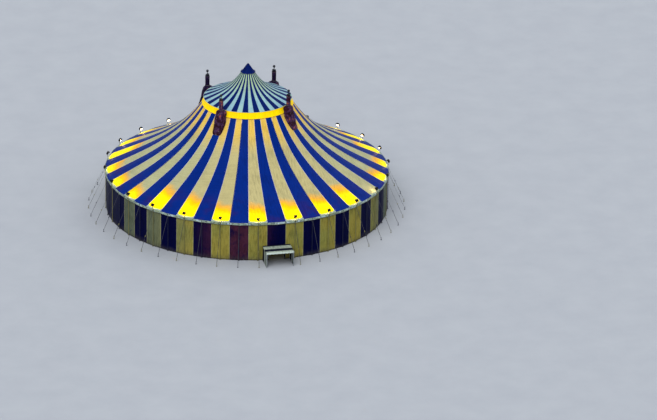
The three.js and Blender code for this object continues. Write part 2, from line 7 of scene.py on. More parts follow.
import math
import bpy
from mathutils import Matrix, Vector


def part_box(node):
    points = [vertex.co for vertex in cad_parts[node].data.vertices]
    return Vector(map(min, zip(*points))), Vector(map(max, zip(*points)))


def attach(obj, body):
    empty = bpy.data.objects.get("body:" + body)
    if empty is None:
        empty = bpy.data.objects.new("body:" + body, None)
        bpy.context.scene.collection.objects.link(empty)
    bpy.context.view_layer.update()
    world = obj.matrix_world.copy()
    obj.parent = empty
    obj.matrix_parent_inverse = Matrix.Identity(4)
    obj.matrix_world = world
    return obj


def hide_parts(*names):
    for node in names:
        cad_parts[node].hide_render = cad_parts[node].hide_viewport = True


bl_info = {
    "name": "Circus big top",
    "version": (1, 0, 0),
    "blender": (4, 5, 0),
    "location": "3D View > Sidebar > Big top",
    "description": "Dresses the frame of a round striped circus tent",
    "category": "Object",
}

import bmesh
import bpy
import numpy as np
from mathutils import Matrix, Vector

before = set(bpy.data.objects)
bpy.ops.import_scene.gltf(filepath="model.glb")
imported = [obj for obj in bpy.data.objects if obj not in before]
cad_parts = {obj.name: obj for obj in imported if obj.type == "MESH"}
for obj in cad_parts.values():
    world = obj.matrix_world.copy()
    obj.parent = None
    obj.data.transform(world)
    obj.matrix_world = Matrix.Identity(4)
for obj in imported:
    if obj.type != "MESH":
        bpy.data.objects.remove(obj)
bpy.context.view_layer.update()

GORES = 48
GORE_ANGLE = 360 / GORES
EAVE_RADIUS = 11.15
EAVE_HEIGHT = 3.1065
FLARE_START = 11.0
CANOPY_EDGE = 11.1246
CANOPY_TOP = 3.55
MAST_SLOT = 4.1
LACING_EDGE = 18.75
LACING_TOP = CANOPY_TOP + 0.2
COLLAR_FOOT = 3.57
COLLAR_HEAD = 3.437
COLLAR_RISE = 0.4805
CUPOLA_EDGE = 3.447
CUPOLA_TOP = 0.53
CAP_RADIUS = 0.55
CAP_HEIGHT = 0.71
CAP_RIDGES = 24
WALL_RADIUS = 11.065
DOOR_HALF, DOOR_HEIGHT = 0.6, 1.125
POLE_CIRCLE = 11.1
CABLE_HEIGHT = 3.015
STAKE_CIRCLE = 12.45
STAKE_TOP = 0.222
STRAP_FOOT = 0.172
LAMP_CIRCLE = 11.165
LAMP_HEIGHT = 3.48
LAMP_ARM_HEIGHT = 2.86
LAMP_TILT = -28.0
MAST_CIRCLE = 3.775
MAST_HALF = 0.1
MAST_FOOT, MAST_TOP = 0.03, 10.19
MAST_BAYS = 10
PULLEY_HEIGHT = 10.17
WINCH_HEIGHT = 0.5
HOIST_CIRCLE = 3.62
MAST_ANGLES = {"front_right": 45, "back_right": 135, "back_left": 225, "front_left": 315}
HOOD_INNER, HOOD_OUTER, HOOD_HALF = 3.5925, 4.49, 0.46
HOOD_SHOULDER_INNER, HOOD_SHOULDER_OUTER, HOOD_SHOULDER_HALF = 3.475, 4.02, 0.41
HOOD_SQUARENESS = 0.5
HOOD_SHOULDER, HOOD_NECK_START, HOOD_TOP = 9.13, 9.24, 10.075
HOOD_NECK = 0.1675
TRIM_FOOT, TRIM_HEAD = 2.9675, 3.1265
BELT_HEAD, BELT_DEEP = TRIM_FOOT - 0.0004, 0.037
BELT_STEP = 1.25
VALANCE_DROP = 0.15
SECTIONS = {
    "front": (0, 5), "front_right": (45, 7), "right": (90, 5), "back_right": (135, 7),
    "back": (180, 5), "back_left": (225, 7), "left": (270, 5), "front_left": (315, 7),
}
QUARTERS = {"front": (0, 11), "right": (90, 13), "back": (180, 11), "left": (270, 13)}
DOOR_SPAN = 7.2
STRETCHES = {
    "front_left": (-41.25, -DOOR_SPAN), "front_right": (DOOR_SPAN, 41.25), "right": (41.25, 138.75),
    "back": (138.75, 221.25), "left": (221.25, 318.75),
}
LAMP_REACH = {
    -15: 2.4, -13: 1.0, -11: 0.95, -9: 0.85, -7: 1.9, -5: 1.7, -3: 1.3, -1: 1.35,
    1: 1.55, 3: 1.55, 5: 1.75, 7: -2.0, 9: 0.95, 11: 0.85, 13: 2.0, 15: 2.0,
}
PLAIN_LAMP_REACH = 1.4
GORE_MIDDLES = [k * GORE_ANGLE for k in range(GORES)]
GORE_SEAMS = [(k + 0.5) * GORE_ANGLE for k in range(GORES)]
LAMP_ANGLES = [(2 * k + 1) * GORE_ANGLE for k in range(GORES // 2)]
ONCE_ROUND = np.linspace(0, 360, 4 * GORES + 1)
LENS = 281.26
TENT_RIGHT, TENT_BELOW = -6.4438, -0.4166
UP = (0, 0, 1)
SIDEWAYS = (1, 0, 0)
UPRIGHT = (math.radians(90), 0, 0)


# Shapes of the tent

def roof_height(radius):
    """Height of the roof cloth's outer face."""
    flare = np.maximum(FLARE_START - radius, 0) / 7.4
    return EAVE_HEIGHT + 0.49 * (EAVE_RADIUS - radius) + 1.775 * np.power(flare, 4.3)


def roof_sag(radius):
    """How far the roof's seams hang below that face."""
    share = (radius - CANOPY_TOP) / (CANOPY_EDGE - CANOPY_TOP)
    return sizes().sag * np.sin(np.pi * share) ** 0.7


COLLAR_BOTTOM = float(roof_height(CANOPY_TOP)) + 0.01785


def collar_height(radius):
    return COLLAR_BOTTOM + (COLLAR_FOOT - radius) * COLLAR_RISE / (COLLAR_FOOT - COLLAR_HEAD)


CUPOLA_BOTTOM = collar_height(COLLAR_HEAD) + 0.0226


def cupola_height(radius):
    d = CUPOLA_EDGE - radius
    return CUPOLA_BOTTOM + 0.4 * d + 0.763 * np.power(np.maximum(d, 0) / 2.8, 4.24)


def facet(angle, corner):
    """Radius, at an angle, of the outline with a corner on the middle of every gore."""
    within = np.radians(np.mod(angle, GORE_ANGLE) - GORE_ANGLE / 2)
    return corner * math.cos(math.radians(GORE_ANGLE / 2)) / np.cos(within)


def ring(angle, radius, height):
    """Points at angles, radii and heights, as arrays of one shape."""
    angle, radius, height = np.broadcast_arrays(np.radians(angle), radius, height)
    return np.stack([radius * np.sin(angle), -radius * np.cos(angle), height], axis=-1)


def outline(angle, corner, height, out=0.0):
    """Points on the outline with such corners, moved out by a distance."""
    return ring(angle, facet(angle, corner) + out, height)


def up_roof(angle, radius, aside, height):
    """Points along a line up the roof, with steps aside in metres."""
    return outline(angle + np.degrees(aside / radius), radius, height)


def spot(angle, radius, height, across=0.0):
    """One point, with a step to the side."""
    a = math.radians(angle)
    return Vector((radius * math.sin(a) + across * math.cos(a),
                   -radius * math.cos(a) + across * math.sin(a), height))


def places(span):
    """Angles of the pole places in a stretch of the eave."""
    first = math.ceil(span[0] / GORE_ANGLE)
    return [k * GORE_ANGLE for k in range(first, math.floor(span[1] / GORE_ANGLE) + 1)]


def corners(x, y):
    """The four corners of a rectangle, from half its sides."""
    return (-x, -y), (-x, y), (x, -y), (x, y)


def chance(number, salt=0.0):
    """A steady value from 0 to 1 for each number."""
    return np.mod(np.sin(np.asarray(number, float) * 12.9898 + salt * 78.233) * 43758.5453, 1.0)


def wavy(turns):
    return np.sin(2 * np.pi * turns)


# Settings

def paint(name, note, value):
    return bpy.props.FloatVectorProperty(
        name=name, description=note, subtype="COLOR_GAMMA", size=3, min=0, max=1, default=value)


def metres(name, note, value, **limits):
    return bpy.props.FloatProperty(name=name, description=note, default=value, unit="LENGTH", **limits)


def degrees(name, note, value):
    return bpy.props.FloatProperty(
        name=name, description=note, default=math.radians(value), subtype="ANGLE")


def light(name, note, value):
    return bpy.props.FloatProperty(name=name, description=note, default=value, min=0)


class BigTopColours(bpy.types.PropertyGroup):
    """Colours of the cloths and fittings, as display values"""

    blue: paint("Blue gores", "Dark stripes of the roof", (0.0, 0.15, 0.49))
    violet: paint("Blue gores by the lamps", "Where lamplight reaches them", (0.17, 0.11, 0.40))
    yellow: paint("Yellow gores, lit", "Last stretch before the eave", (1.0, 0.89, 0.0))
    amber: paint("Yellow gores, half lit", "Between the lit and plain stretches", (0.97, 0.70, 0.24))
    straw: paint("Yellow gores, plain", "Middle of the pale stripes", (0.75, 0.70, 0.49))
    # Painted shade: the pale stripes on the sides of the tent are drawn greyer.
    side_shaded_straw: paint("Yellow gores, at the sides", "Pale stripes that face sideways", (0.71, 0.70, 0.53))
    seam: paint("Seam tapes", "Welded edges of the pale stripes", (0.80, 0.79, 0.86))
    trim: paint("Eave trim", "Valance round the eave", (0.62, 0.69, 0.62))
    olive: paint("Light wall panels", "Panels under the yellow gores", (0.585, 0.535, 0.24))
    navy: paint("Dark wall panels", "Panels under the blue gores", (0.0, 0.01, 0.19))
    collar: paint("Collar", "Band round the ring", (1.0, 0.86, 0.0))
    mint: paint("Light cupola gores", "Pale stripes of the cupola", (0.62, 0.76, 0.72))
    ink: paint("Dark cupola gores", "Dark stripes and cap of the cupola", (0.0, 0.10, 0.37))
    hood: paint("Mast hoods", "Boots where the masts pass the roof", (0.20, 0.08, 0.14))
    webbing: paint("Webbing", "Guy straps and belts", (0.20, 0.21, 0.22))
    lamplight: paint("Lamplight", "Glass of the floodlights", (1.0, 0.93, 0.76))


class BigTopSizes(bpy.types.PropertyGroup):
    """Sizes of the cloths and ropes"""

    cloth: metres("Cloth", "Thickness that the cloths are drawn with", 0.006, min=0.001, max=0.019)
    sag: metres("Roof sag", "How far the roof hangs between its ridge lines", 0.016, min=0.0, max=0.05)
    fold: metres("Wall folds", "Depth of the folds in the side wall", 0.014, min=0.0, max=0.03)
    rope: metres("Rope", "Radius of the lacing ropes", 0.0048, min=0.002, max=0.02)


class BigTopStage(bpy.types.PropertyGroup):
    """The camera, the floor and the lights"""

    azimuth: degrees("Azimuth", "Where the camera stands, round from the entrance", -13.087)
    elevation: degrees("Elevation", "How far the camera looks down", 22.812)
    roll: degrees("Roll", "Turn of the camera about its own line", -0.937)
    distance: metres("Distance", "From the camera to the tent's middle", 404.13)
    sun: light("Key light", "Strength of the broad key light", 1.5)
    sky: light("Fill light", "Strength of the light from all round", 0.72)


def colours():
    return bpy.context.scene.big_top_colours


def sizes():
    return bpy.context.scene.big_top_sizes


# Finishes

FINISHES = {}


def linear(colour):
    """Display colour to the light that a shader works with."""
    return tuple(c / 12.92 if c <= 0.04045 else ((c + 0.055) / 1.055) ** 2.4 for c in colour)


class Flow:
    """What a node gives. Arithmetic on it adds nodes to the same material."""

    def __init__(self, finish, socket):
        self.finish = finish
        self.socket = socket

    def __add__(self, other):
        return self.finish.math("ADD", self, other)

    def __sub__(self, other):
        return self.finish.math("SUBTRACT", self, other)

    def __rsub__(self, other):
        return self.finish.math("SUBTRACT", other, self)

    def __mul__(self, other):
        return self.finish.math("MULTIPLY", self, other)

    def __truediv__(self, other):
        return self.finish.math("DIVIDE", self, other)

    def __abs__(self):
        return self.finish.math("ABSOLUTE", self)

    def rise(self, low, high):
        """Smooth rise from 0 at low to 1 at high."""
        ends = {0: self, 1: low, 2: high}
        return self.finish.out("MapRange", ends, interpolation_type="SMOOTHSTEP")


class Finish:
    """A material being made; its methods add nodes and hand back what they give.

    FINISHES keeps what the material is called, since the frame's own ones have some of the same names.
    """

    def __init__(self, name, **sockets):
        material = bpy.data.materials.new(name)
        FINISHES[name] = material.name
        material.use_nodes = True
        self.tree = material.node_tree
        self.shader = self.tree.nodes["Principled BSDF"]
        self.shade(**sockets)

    def feed(self, socket, value):
        if isinstance(value, Flow):
            self.tree.links.new(value.socket, socket)
        elif socket.type == "RGBA":
            socket.default_value = (*linear(value[:3]), 1.0)
        else:
            socket.default_value = value

    def shade(self, **sockets):
        """Sets or links the shader's own sockets."""
        for name, value in sockets.items():
            self.feed(self.shader.inputs[name.replace("_", " ")], value)

    def node(self, kind, feeds, **settings):
        made = self.tree.nodes.new("ShaderNode" + kind)
        for name, value in settings.items():
            setattr(made, name, value)
        for key, value in feeds.items():
            self.feed(made.inputs[key], value)
        return made

    def out(self, kind, feeds, output=0, **settings):
        """Adds a node and gives one of its outputs."""
        return Flow(self, self.node(kind, feeds, **settings).outputs[output])

    def math(self, operation, *values):
        return self.out("Math", dict(enumerate(values)), operation=operation)

    def place(self):
        return self.out("TexCoord", {}, "Object")

    def split(self, vector):
        return [Flow(self, socket) for socket in self.node("SeparateXYZ", {0: vector}).outputs]

    def join(self, x, y):
        return self.out("CombineXYZ", {0: x, 1: y})

    def along(self):
        """The cloth's own coordinates: gore number, metres from its first edge, metres across it."""
        return self.split(self.out("Attribute", {}, "Vector", attribute_name="cloth"))

    def mix(self, share, a, b, blend="MIX"):
        return self.out("Mix", {0: share, 6: a, 7: b}, 2, data_type="RGBA", blend_type=blend)

    def noise(self, scale, detail=3.0, rough=0.55, where=None):
        vector = where or self.place()
        feeds = {"Vector": vector, "Scale": scale, "Detail": detail, "Roughness": rough}
        return self.out("TexNoise", feeds)

    def weave(self, across, run, pitch):
        """Height of over-and-under threads."""
        warp, weft = (self.math("SINE", way * (2 * math.pi / pitch)) for way in (across, run))
        return warp * weft + 0.5

    def relief(self, height, distance, strength, under=None):
        feeds = {"Height": height, "Distance": distance, "Strength": strength}
        if under:
            feeds["Normal"] = under
        return self.out("Bump", feeds)


def coated(name, colour_of, wear=0.12, creases=0.006):
    """Coated polyester: a woven base under a satin skin, with creases, dark streaks and pale scuffs."""
    f = Finish(name, Specular_IOR_Level=0.035)
    gore, run, across = f.along()
    streak = f.noise(2.6, 4, 0.6, f.join(across * 3.2, run * 0.55))
    cloud = f.noise(0.9, 4, 0.6)
    grain = f.noise(26, 3, 0.6)
    base = colour_of(f, gore, run, across)
    dark = f.mix(1.0, base, (0.62, 0.62, 0.64), "MULTIPLY")
    base = f.mix((streak + cloud * 0.6).rise(0.66, 1.12) * (wear * 4), base, dark)
    light = f.mix(1.0, base, (1.3, 1.3, 1.3), "MULTIPLY")
    base = f.mix(grain.rise(0.5, 0.8) * (wear * 4), base, light)
    threads = f.relief(f.weave(across, run, 0.012), 0.0005, 0.5)
    scuffs = f.relief(grain, 0.0015, 0.5, threads)
    crease = f.noise(3.4, 4, 0.55, f.join(across * 2.0, run * 0.8))
    f.shade(Base_Color=base, Roughness=streak * 0.24 + 0.32, Normal=f.relief(crease, creases, 0.8, scuffs))
    return name


def stripes(f, gore):
    """0 on the even gores and 1 on the odd ones, and the place across a gore from -0.5 to 0.5."""
    number = f.math("FLOOR", gore)
    odd = f.math("GREATER_THAN", f.math("PINGPONG", number, 1.0), 0.5)
    return odd, gore - number - 0.5


def roof_colour(f, gore, run, across):
    """Blue and yellow gores with painted lamplight: the lamps on the eave light the lowest stretch of the
    yellow ones and tint the blue ones violet near the eave.
    """
    c = colours()
    odd, side = stripes(f, gore)
    x, y, _ = f.split(f.place())
    radius = f.math("SQRT", x * x + y * y)
    edge = (0.5 - abs(side)) * (radius * math.radians(GORE_ANGLE))
    drift = (f.noise(1.3, 3, 0.6) - 0.5) * 0.8
    lamp = f.out("Attribute", {}, "Fac", attribute_name="lamplight")
    reach = (run - lamp) + (drift + side * 0.4)
    # Painted shade: pale stripes turn greyer where they face sideways.
    plain = f.mix(abs(x / radius).rise(0.45, 0.95), c.straw, c.side_shaded_straw)
    plain = f.mix(run.rise(6.3, 8.9) * 0.85, plain, (0.95, 0.77, 0.3))
    # Painted lamplight: deep yellow next to each lamp, amber further up, then the plain yellow.
    near = f.mix(reach.rise(-0.6, 0.1), c.yellow, (1.0, 0.77, 0.02))
    lit = f.mix(reach.rise(-0.1, 0.25), near, c.amber)
    yellow = f.mix(reach.rise(0.15, 0.9), lit, plain)
    strip = (abs(side).rise(0.36, 0.52) * 0.16 + 0.15 - run).rise(-0.012, 0.012)
    yellow = f.mix(strip, yellow, c.trim)
    yellow = f.mix(1.0 - edge.rise(0.013, 0.024), yellow, c.seam)
    # Painted lamplight: the blue gores turn violet in patches near the eave.
    lamp_tint = (1.0 - run.rise(0.4, 3.4)) * f.noise(0.7, 3, 0.6).rise(0.42, 0.7)
    blue = f.mix(lamp_tint * 0.75, c.blue, c.violet)
    # Painted glow: the lamplit stretch of the yellow gores emits a little light.
    glow = odd * (1.0 - reach.rise(-0.9, 0.6)) * (1.0 - strip)
    f.shade(Emission_Color=f.mix(glow, (0, 0, 0), near), Emission_Strength=0.28)
    return f.mix(odd, blue, yellow)


def wall_colour(f, gore, run, across):
    """Dark and olive panels with paler edge tapes, a hem band and splashes at the ground; painted shade makes
    the olive panels greyer towards the sides and dark blue at the far left.
    """
    c = colours()
    odd, side = stripes(f, gore)
    tape = abs(side).rise(0.455, 0.475)
    x, y, z = f.split(f.place())
    tinge = abs(x + 3.3).rise(3.6, 0.9) * y.rise(-8.5, -10.6) * f.noise(1.6, 3, 0.6).rise(0.2, 0.6)
    navy = f.mix(tinge, c.navy, (0.27, 0.13, 0.20))
    navy = f.mix(tape * 0.35, navy, (0.16, 0.15, 0.32))
    olive = f.mix(f.noise(0.5, 2, 0.5).rise(0.4, 0.7) * 0.5, c.olive, (0.47, 0.50, 0.27))
    # Painted shade: the olive panels turn greyer towards the left and right sides.
    olive = f.mix(x.rise(-5.5, -9.5), olive, (0.37, 0.40, 0.32))
    olive = f.mix(x.rise(7.4, 10.2), olive, (0.35, 0.39, 0.32))
    olive = f.mix(tape * 0.6, olive, (0.66, 0.65, 0.44))
    # Painted shade: the olive panel at the far left, at the silhouette, is drawn dark blue.
    olive = f.mix(x.rise(-10.55, -10.75), olive, (0.04, 0.06, 0.20))
    hem = 1.0 - z.rise(0.075, 0.085)
    base = f.mix(hem * 0.45, f.mix(odd, navy, olive), (0.08, 0.08, 0.14))
    splash = (z - f.noise(3.5) * 0.5).rise(0.2, -0.2)
    return f.mix(splash * 0.35, base, (0.30, 0.28, 0.27))


def cupola_colour(f, gore, run, across):
    """Dark gores between pale ones, which are cooler in patches and greener towards the cap."""
    c = colours()
    odd, side = stripes(f, gore)
    light = f.mix(f.noise(0.9, 2, 0.5).rise(0.35, 0.65) * 0.5, c.mint, (0.55, 0.72, 0.84))
    light = f.mix(run.rise(1.2, 3.1) * 0.75, light, (0.69, 0.77, 0.56))
    light = f.mix(abs(side).rise(0.43, 0.47), light, (0.42, 0.52, 0.60))
    return f.mix(odd, c.ink, light)


def trim_colour(f, gore, run, across):
    """Pale band with olive patches under the yellow gores, random paler and dark grey patches and a stitched
    hem.
    """
    odd, side = stripes(f, gore)
    base = f.mix(odd * f.noise(1.7, 2, 0.5).rise(0.3, 0.6) * 0.65, colours().trim, (0.56, 0.60, 0.42))
    base = f.mix(f.noise(2.2, 3, 0.6).rise(0.5, 0.6), base, (0.74, 0.82, 0.84))
    base = f.mix(f.noise(5.0, 3, 0.65).rise(0.52, 0.6) * 0.75, base, (0.25, 0.30, 0.32))
    stitch = abs(run - 0.135).rise(0.006, 0.003) * f.math("PINGPONG", across, 0.03).rise(0.01, 0.014)
    base = f.mix(stitch, base, (0.34, 0.38, 0.36))
    return f.mix(abs(side).rise(0.47, 0.485) * 0.7, base, (0.42, 0.46, 0.42))


def plain_colour(colour, other, share=0.6, scale=0.8):
    """One colour with patches of another."""
    def pick(f, gore, run, across):
        return f.mix(f.noise(scale, 3, 0.6).rise(0.4, 0.68) * share, colour, other)
    return pick


def collar_colour(f, gore, run, across):
    """Yellow with a painted glow, with a tape on every seam."""
    _, side = stripes(f, gore)
    base = plain_colour(colours().collar, (1.0, 0.80, 0.05), 0.7, 1.2)(f, gore, run, across)
    # Painted glow: the collar cloth emits a little of its own yellow, as if lit.
    f.shade(Emission_Color=base, Emission_Strength=0.26)
    return f.mix(abs(side).rise(0.465, 0.485) * 0.6, base, (0.86, 0.66, 0.08))


def hood_colour(f, gore, run, across):
    """Mottled dark cloth with reddish and pale flecks, bluer on the two hoods at the back."""
    spots = f.noise(2.6, 4, 0.65)
    base = f.mix(spots.rise(0.44, 0.56), colours().hood, (0.31, 0.20, 0.34))
    base = f.mix(spots.rise(0.57, 0.66), base, (0.66, 0.34, 0.17))
    base = f.mix(f.noise(9.0, 3, 0.6).rise(0.64, 0.70) * 0.5, base, (0.78, 0.70, 0.62))
    behind = f.split(f.place())[1].rise(0.5, 1.5)
    return f.mix(behind * 0.75, base, (0.04, 0.06, 0.19))


def past_wall(f):
    """Metres out from the tent's wall, through the porch."""
    return f.split(f.place())[1] * -1.0 - WALL_RADIUS


def porch_colour(f, gore, run, across):
    """Bands across the passage, with wavering edges."""
    out = past_wall(f) + f.noise(3.0, 2, 0.5) * 0.03
    band = out.rise(0.20, 0.23) * out.rise(0.77, 0.74) + out.rise(1.16, 1.19)
    return f.mix(band, (0.10, 0.11, 0.17), (0.66, 0.70, 0.64))


def curtain_colour(f, gore, run, across):
    """Upright bands on the side curtains, mostly dark beside the wall."""
    out = past_wall(f)
    band = out.rise(0.58, 0.62) * out.rise(0.97, 0.93) + out.rise(1.16, 1.19)
    return f.mix(band, (0.09, 0.10, 0.16), (0.62, 0.66, 0.62))


def by_gore(f, even, odd):
    """The first colour in front of the dark wall panels and the second in front of the olive ones."""
    x, y, _ = f.split(f.place())
    gore = f.math("ARCTAN2", x, y * -1.0) / math.radians(GORE_ANGLE) + (GORES + 0.5)
    return f.mix(stripes(f, gore)[0], even, odd)


def metal(name, base, other, roughness=0.45, scale=30.0, metallic=0.9):
    """Galvanised or painted steel: spangle, darker patches and fine pitting."""
    f = Finish(name, Metallic=metallic, Specular_IOR_Level=0.5)
    flakes = f.out("TexVoronoi", {"Vector": f.place(), "Scale": scale}, "Color")
    mottle = f.noise(3.0, 5, 0.6)
    colour = f.mix(f.split(flakes)[0] * 0.5, base, other)
    colour = f.mix(mottle.rise(0.5, 0.75) * 0.5, colour, tuple(0.7 * v for v in base))
    f.shade(Base_Color=colour, Roughness=mottle * 0.3 + (roughness - 0.12),
            Normal=f.relief(f.noise(60, 2, 0.5), 0.001, 0.4))
    return name


def woven(name, base, other, pitch=0.01):
    """Webbing or rope: coarse threads with patches of dust."""
    f = Finish(name, Specular_IOR_Level=0.3, Sheen_Weight=0.2, Sheen_Roughness=0.5)
    x, y, z = f.split(f.place())
    dust = f.noise(4.0, 4, 0.6)
    f.shade(Base_Color=f.mix(dust.rise(0.4, 0.7), base, other), Roughness=dust * 0.2 + 0.62,
            Normal=f.relief(f.weave(x + z, y - z, pitch), 0.001, 0.6))
    return name


def reflecting_pole_finish(name, dark, olive):
    """The side poles: dull, with a painted reflection of the wall panel behind each one, dark or olive, with
    scratches and a dusty foot.
    """
    f = Finish(name, Specular_IOR_Level=0.25, Roughness=0.6)
    scratch = f.noise(40, 3, 0.6)
    # Painted reflection: dark blue before the dark wall panels, olive before the olive ones.
    base = f.mix(scratch.rise(0.55, 0.75) * 0.3, by_gore(f, dark, olive), (0.30, 0.31, 0.32))
    dust = f.split(f.place())[2].rise(0.35, 0.05)
    f.shade(Base_Color=f.mix(dust * 0.3, base, (0.33, 0.31, 0.28)), Normal=f.relief(scratch, 0.001, 0.4))


def glass(name):
    """Lit floodlight glass, warmer in patches."""
    f = Finish(name, Roughness=0.12, Specular_IOR_Level=0.5)
    spread = f.noise(14, 2, 0.5)
    glow = f.mix(spread.rise(0.35, 0.7), (1.0, 0.78, 0.42), colours().lamplight)
    f.shade(Base_Color=glow, Emission_Color=glow, Emission_Strength=30.0,
            Normal=f.relief(spread, 0.001, 0.3))
    return name


# Making cloth

def link(name, data):
    """A new object of some data, in the scene."""
    made = bpy.data.objects.new(name, data)
    bpy.context.scene.collection.objects.link(made)
    return made


def put_mesh(name, points, faces, values):
    """A smooth mesh of four-sided faces, turned outwards, with its cloth coordinates."""
    a, b, c, d = (points[faces[:, k]] for k in range(4))
    if (np.einsum("ij,ij->i", a, np.cross(b, c)) + np.einsum("ij,ij->i", a, np.cross(c, d))).sum() < 0:
        faces = faces[:, ::-1]
        values = values[:, ::-1]
    mesh = bpy.data.meshes.new(name)
    mesh.from_pydata(points.tolist(), [], faces.tolist())
    mark = mesh.attributes.new("cloth", "FLOAT_VECTOR", "CORNER")
    mark.data.foreach_set("vector", np.ascontiguousarray(values, np.float32).reshape(-1))
    mesh.polygons.foreach_set("use_smooth", [True] * len(faces))
    mesh.update()
    return link(name, mesh)


def cloth(name, outer, marks, thickness, closed=False, kept=None):
    """A closed thin sheet on a grid of outer points; marks are the cloth coordinates of each point.

    In a closed ring the last column repeats the first one. kept says which cells are there.
    """
    rows, cols = outer.shape[0] - 1, outer.shape[1] - 1
    across, along = np.gradient(outer, axis=1), np.gradient(outer, axis=0)
    if closed:
        across[:, 0] = across[:, -1] = (outer[:, 1] - outer[:, -2]) / 2
    normal = np.cross(across, along)
    normal /= np.linalg.norm(normal, axis=2, keepdims=True)
    away = np.sign((normal[..., :2] * outer[..., :2]).sum() + 0.2 * normal[..., 2].sum()) or 1.0
    inner = outer - normal * away * thickness
    points = np.concatenate([outer.reshape(-1, 3), inner.reshape(-1, 3)])
    values = np.concatenate([marks.reshape(-1, 3)] * 2)
    index = np.arange(len(points)).reshape(2, rows + 1, cols + 1)
    kept = np.ones((rows, cols), bool) if kept is None else kept
    held = np.pad(kept, 1)
    if closed:
        held[1:-1, 0], held[1:-1, -1] = kept[:, -1], kept[:, 0]
    first, last = slice(0, -1), slice(1, None)
    round_cell = ((first, first), (first, last), (last, last), (last, first))
    (a, b, c, d), (e, f, g, h) = ([side[corner] for corner in round_cell] for side in index)
    quads = [
        (kept, a, b, c, d), (kept, e, h, g, f),
        (kept & ~held[:-2, 1:-1], e, f, b, a), (kept & ~held[2:, 1:-1], d, c, g, h),
        (kept & ~held[1:-1, :-2], a, d, h, e), (kept & ~held[1:-1, 2:], f, g, c, b)]
    faces = np.concatenate([np.stack([grid[cells] for grid in four], axis=1) for cells, *four in quads])
    corner_values = values[faces]
    if closed:
        index[:, :, -1] = index[:, :, 0]
        faces = index.reshape(-1)[faces]
    used, faces = np.unique(faces, return_inverse=True)
    return put_mesh(name, points[used], faces.reshape(-1, 4), corner_values)


def tube(name, line, radius, sides=6, closed=False):
    """A rope that follows a line of points; an open one ends in points."""
    line = np.asarray(line, float)
    along = np.gradient(line, axis=0)
    if closed:
        along[0] = along[-1] = line[1] - line[-2]
    along /= np.linalg.norm(along, axis=1, keepdims=True)
    up = np.where(np.abs(along[:, 2:]) > 0.9, [[1.0, 0, 0]], [[0, 0, 1.0]])
    x = np.cross(along, up)
    x /= np.linalg.norm(x, axis=1, keepdims=True)
    y = np.cross(along, x)
    turn = np.linspace(0, 2 * np.pi, sides + 1)[:-1, None]
    rims = line[:, None] + radius * (np.cos(turn) * x[:, None] + np.sin(turn) * y[:, None])
    if closed:
        rims = rims[:-1]
    count = len(rims)
    index = np.arange(count * sides).reshape(count, sides)
    here = index if closed else index[:-1]
    ahead = np.roll(index, -1, 0) if closed else index[1:]
    faces = np.stack([here, np.roll(here, -1, 1), np.roll(ahead, -1, 1), ahead], axis=-1)
    faces = faces.reshape(-1, 4).tolist()
    points = rims.reshape(-1, 3)
    if not closed:
        tips = np.stack([line[0] - along[0] * radius * 0.7, line[-1] + along[-1] * radius * 0.7])
        points = np.concatenate([points, tips])
        start, end = index[0].tolist(), index[-1].tolist()
        for k in range(sides):
            after = (k + 1) % sides
            faces.append([start[k], count * sides, start[after]])
            faces.append([end[after], count * sides + 1, end[k]])
    mesh = bpy.data.meshes.new(name)
    mesh.from_pydata(points.tolist(), [], faces)
    work = bmesh.new()
    work.from_mesh(mesh)
    bmesh.ops.recalc_face_normals(work, faces=work.faces)
    work.to_mesh(mesh)
    work.free()
    mesh.update()
    mesh.polygons.foreach_set("use_smooth", [True] * len(mesh.polygons))
    return link(name, mesh)


def hoop(name, line, radius, sides=6):
    return tube(name, line, radius, sides, True)


def cover(piece, finish):
    piece.data.materials.clear()
    piece.data.materials.append(bpy.data.materials[FINISHES[finish]])


def dress(piece, finish, slot, *nodes):
    """Gives a finished piece its finish and hides the frame's nodes that it stands for; slot is not used."""
    cover(piece, finish)
    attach(piece, "root")
    if nodes:
        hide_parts(*nodes)
    return piece


def gore_columns(gores, steps=10):
    """Places across a run of gores, close together at the welded seams."""
    one = np.concatenate([[0, 0.012, 0.03], np.linspace(0.03, 0.97, steps + 1)[1:-1], [0.97, 0.988]])
    return np.append((np.arange(gores)[:, None] + one).reshape(-1), gores)


def weld(across, height):
    """The lap of two gores, as a step up beside each seam."""
    return height * (np.minimum(across, 1 - across) < 0.013)


def marked(gore, outer, across):
    """Cloth coordinates of every grid point; the middle one is measured from the first row."""
    step = np.linalg.norm(np.diff(outer, axis=0), axis=2)
    run = np.concatenate([np.zeros((1, outer.shape[1])), np.cumsum(step, axis=0)])
    return np.stack(np.broadcast_arrays(gore, run, across), axis=-1)


def marked_round(angle, outer, radius):
    return marked(angle / GORE_ANGLE + 0.5 + GORES, outer, np.radians(angle) * radius)


def webbing(name, line, half, thickness):
    """A strap along a line of points, level from edge to edge."""
    aside = np.array([half, 0, 0])
    edges = np.stack([line - aside, line, line + aside], axis=1)
    return cloth(name, edges, marked(0.0, edges, 0.0), thickness)


def roof_strip(name, angle, radii, half, steps, lift, thickness):
    """A band up the roof; lift gives its height over the roof from the radius and the step aside."""
    r, aside = np.meshgrid(radii, np.linspace(-half, half, steps), indexing="ij")
    shape = up_roof(angle, r, aside, roof_height(r) + lift(r, aside))
    return cloth(name, shape, marked(0.0, shape, aside), thickness)


# Making rigid pieces

def choose(*pieces):
    """Selects only these pieces, with the first one active."""
    bpy.ops.object.select_all(action="DESELECT")
    for piece in pieces:
        piece.select_set(True)
    if pieces:
        bpy.context.view_layer.objects.active = pieces[0]


def discard(*pieces):
    for piece in pieces:
        bpy.data.objects.remove(piece)


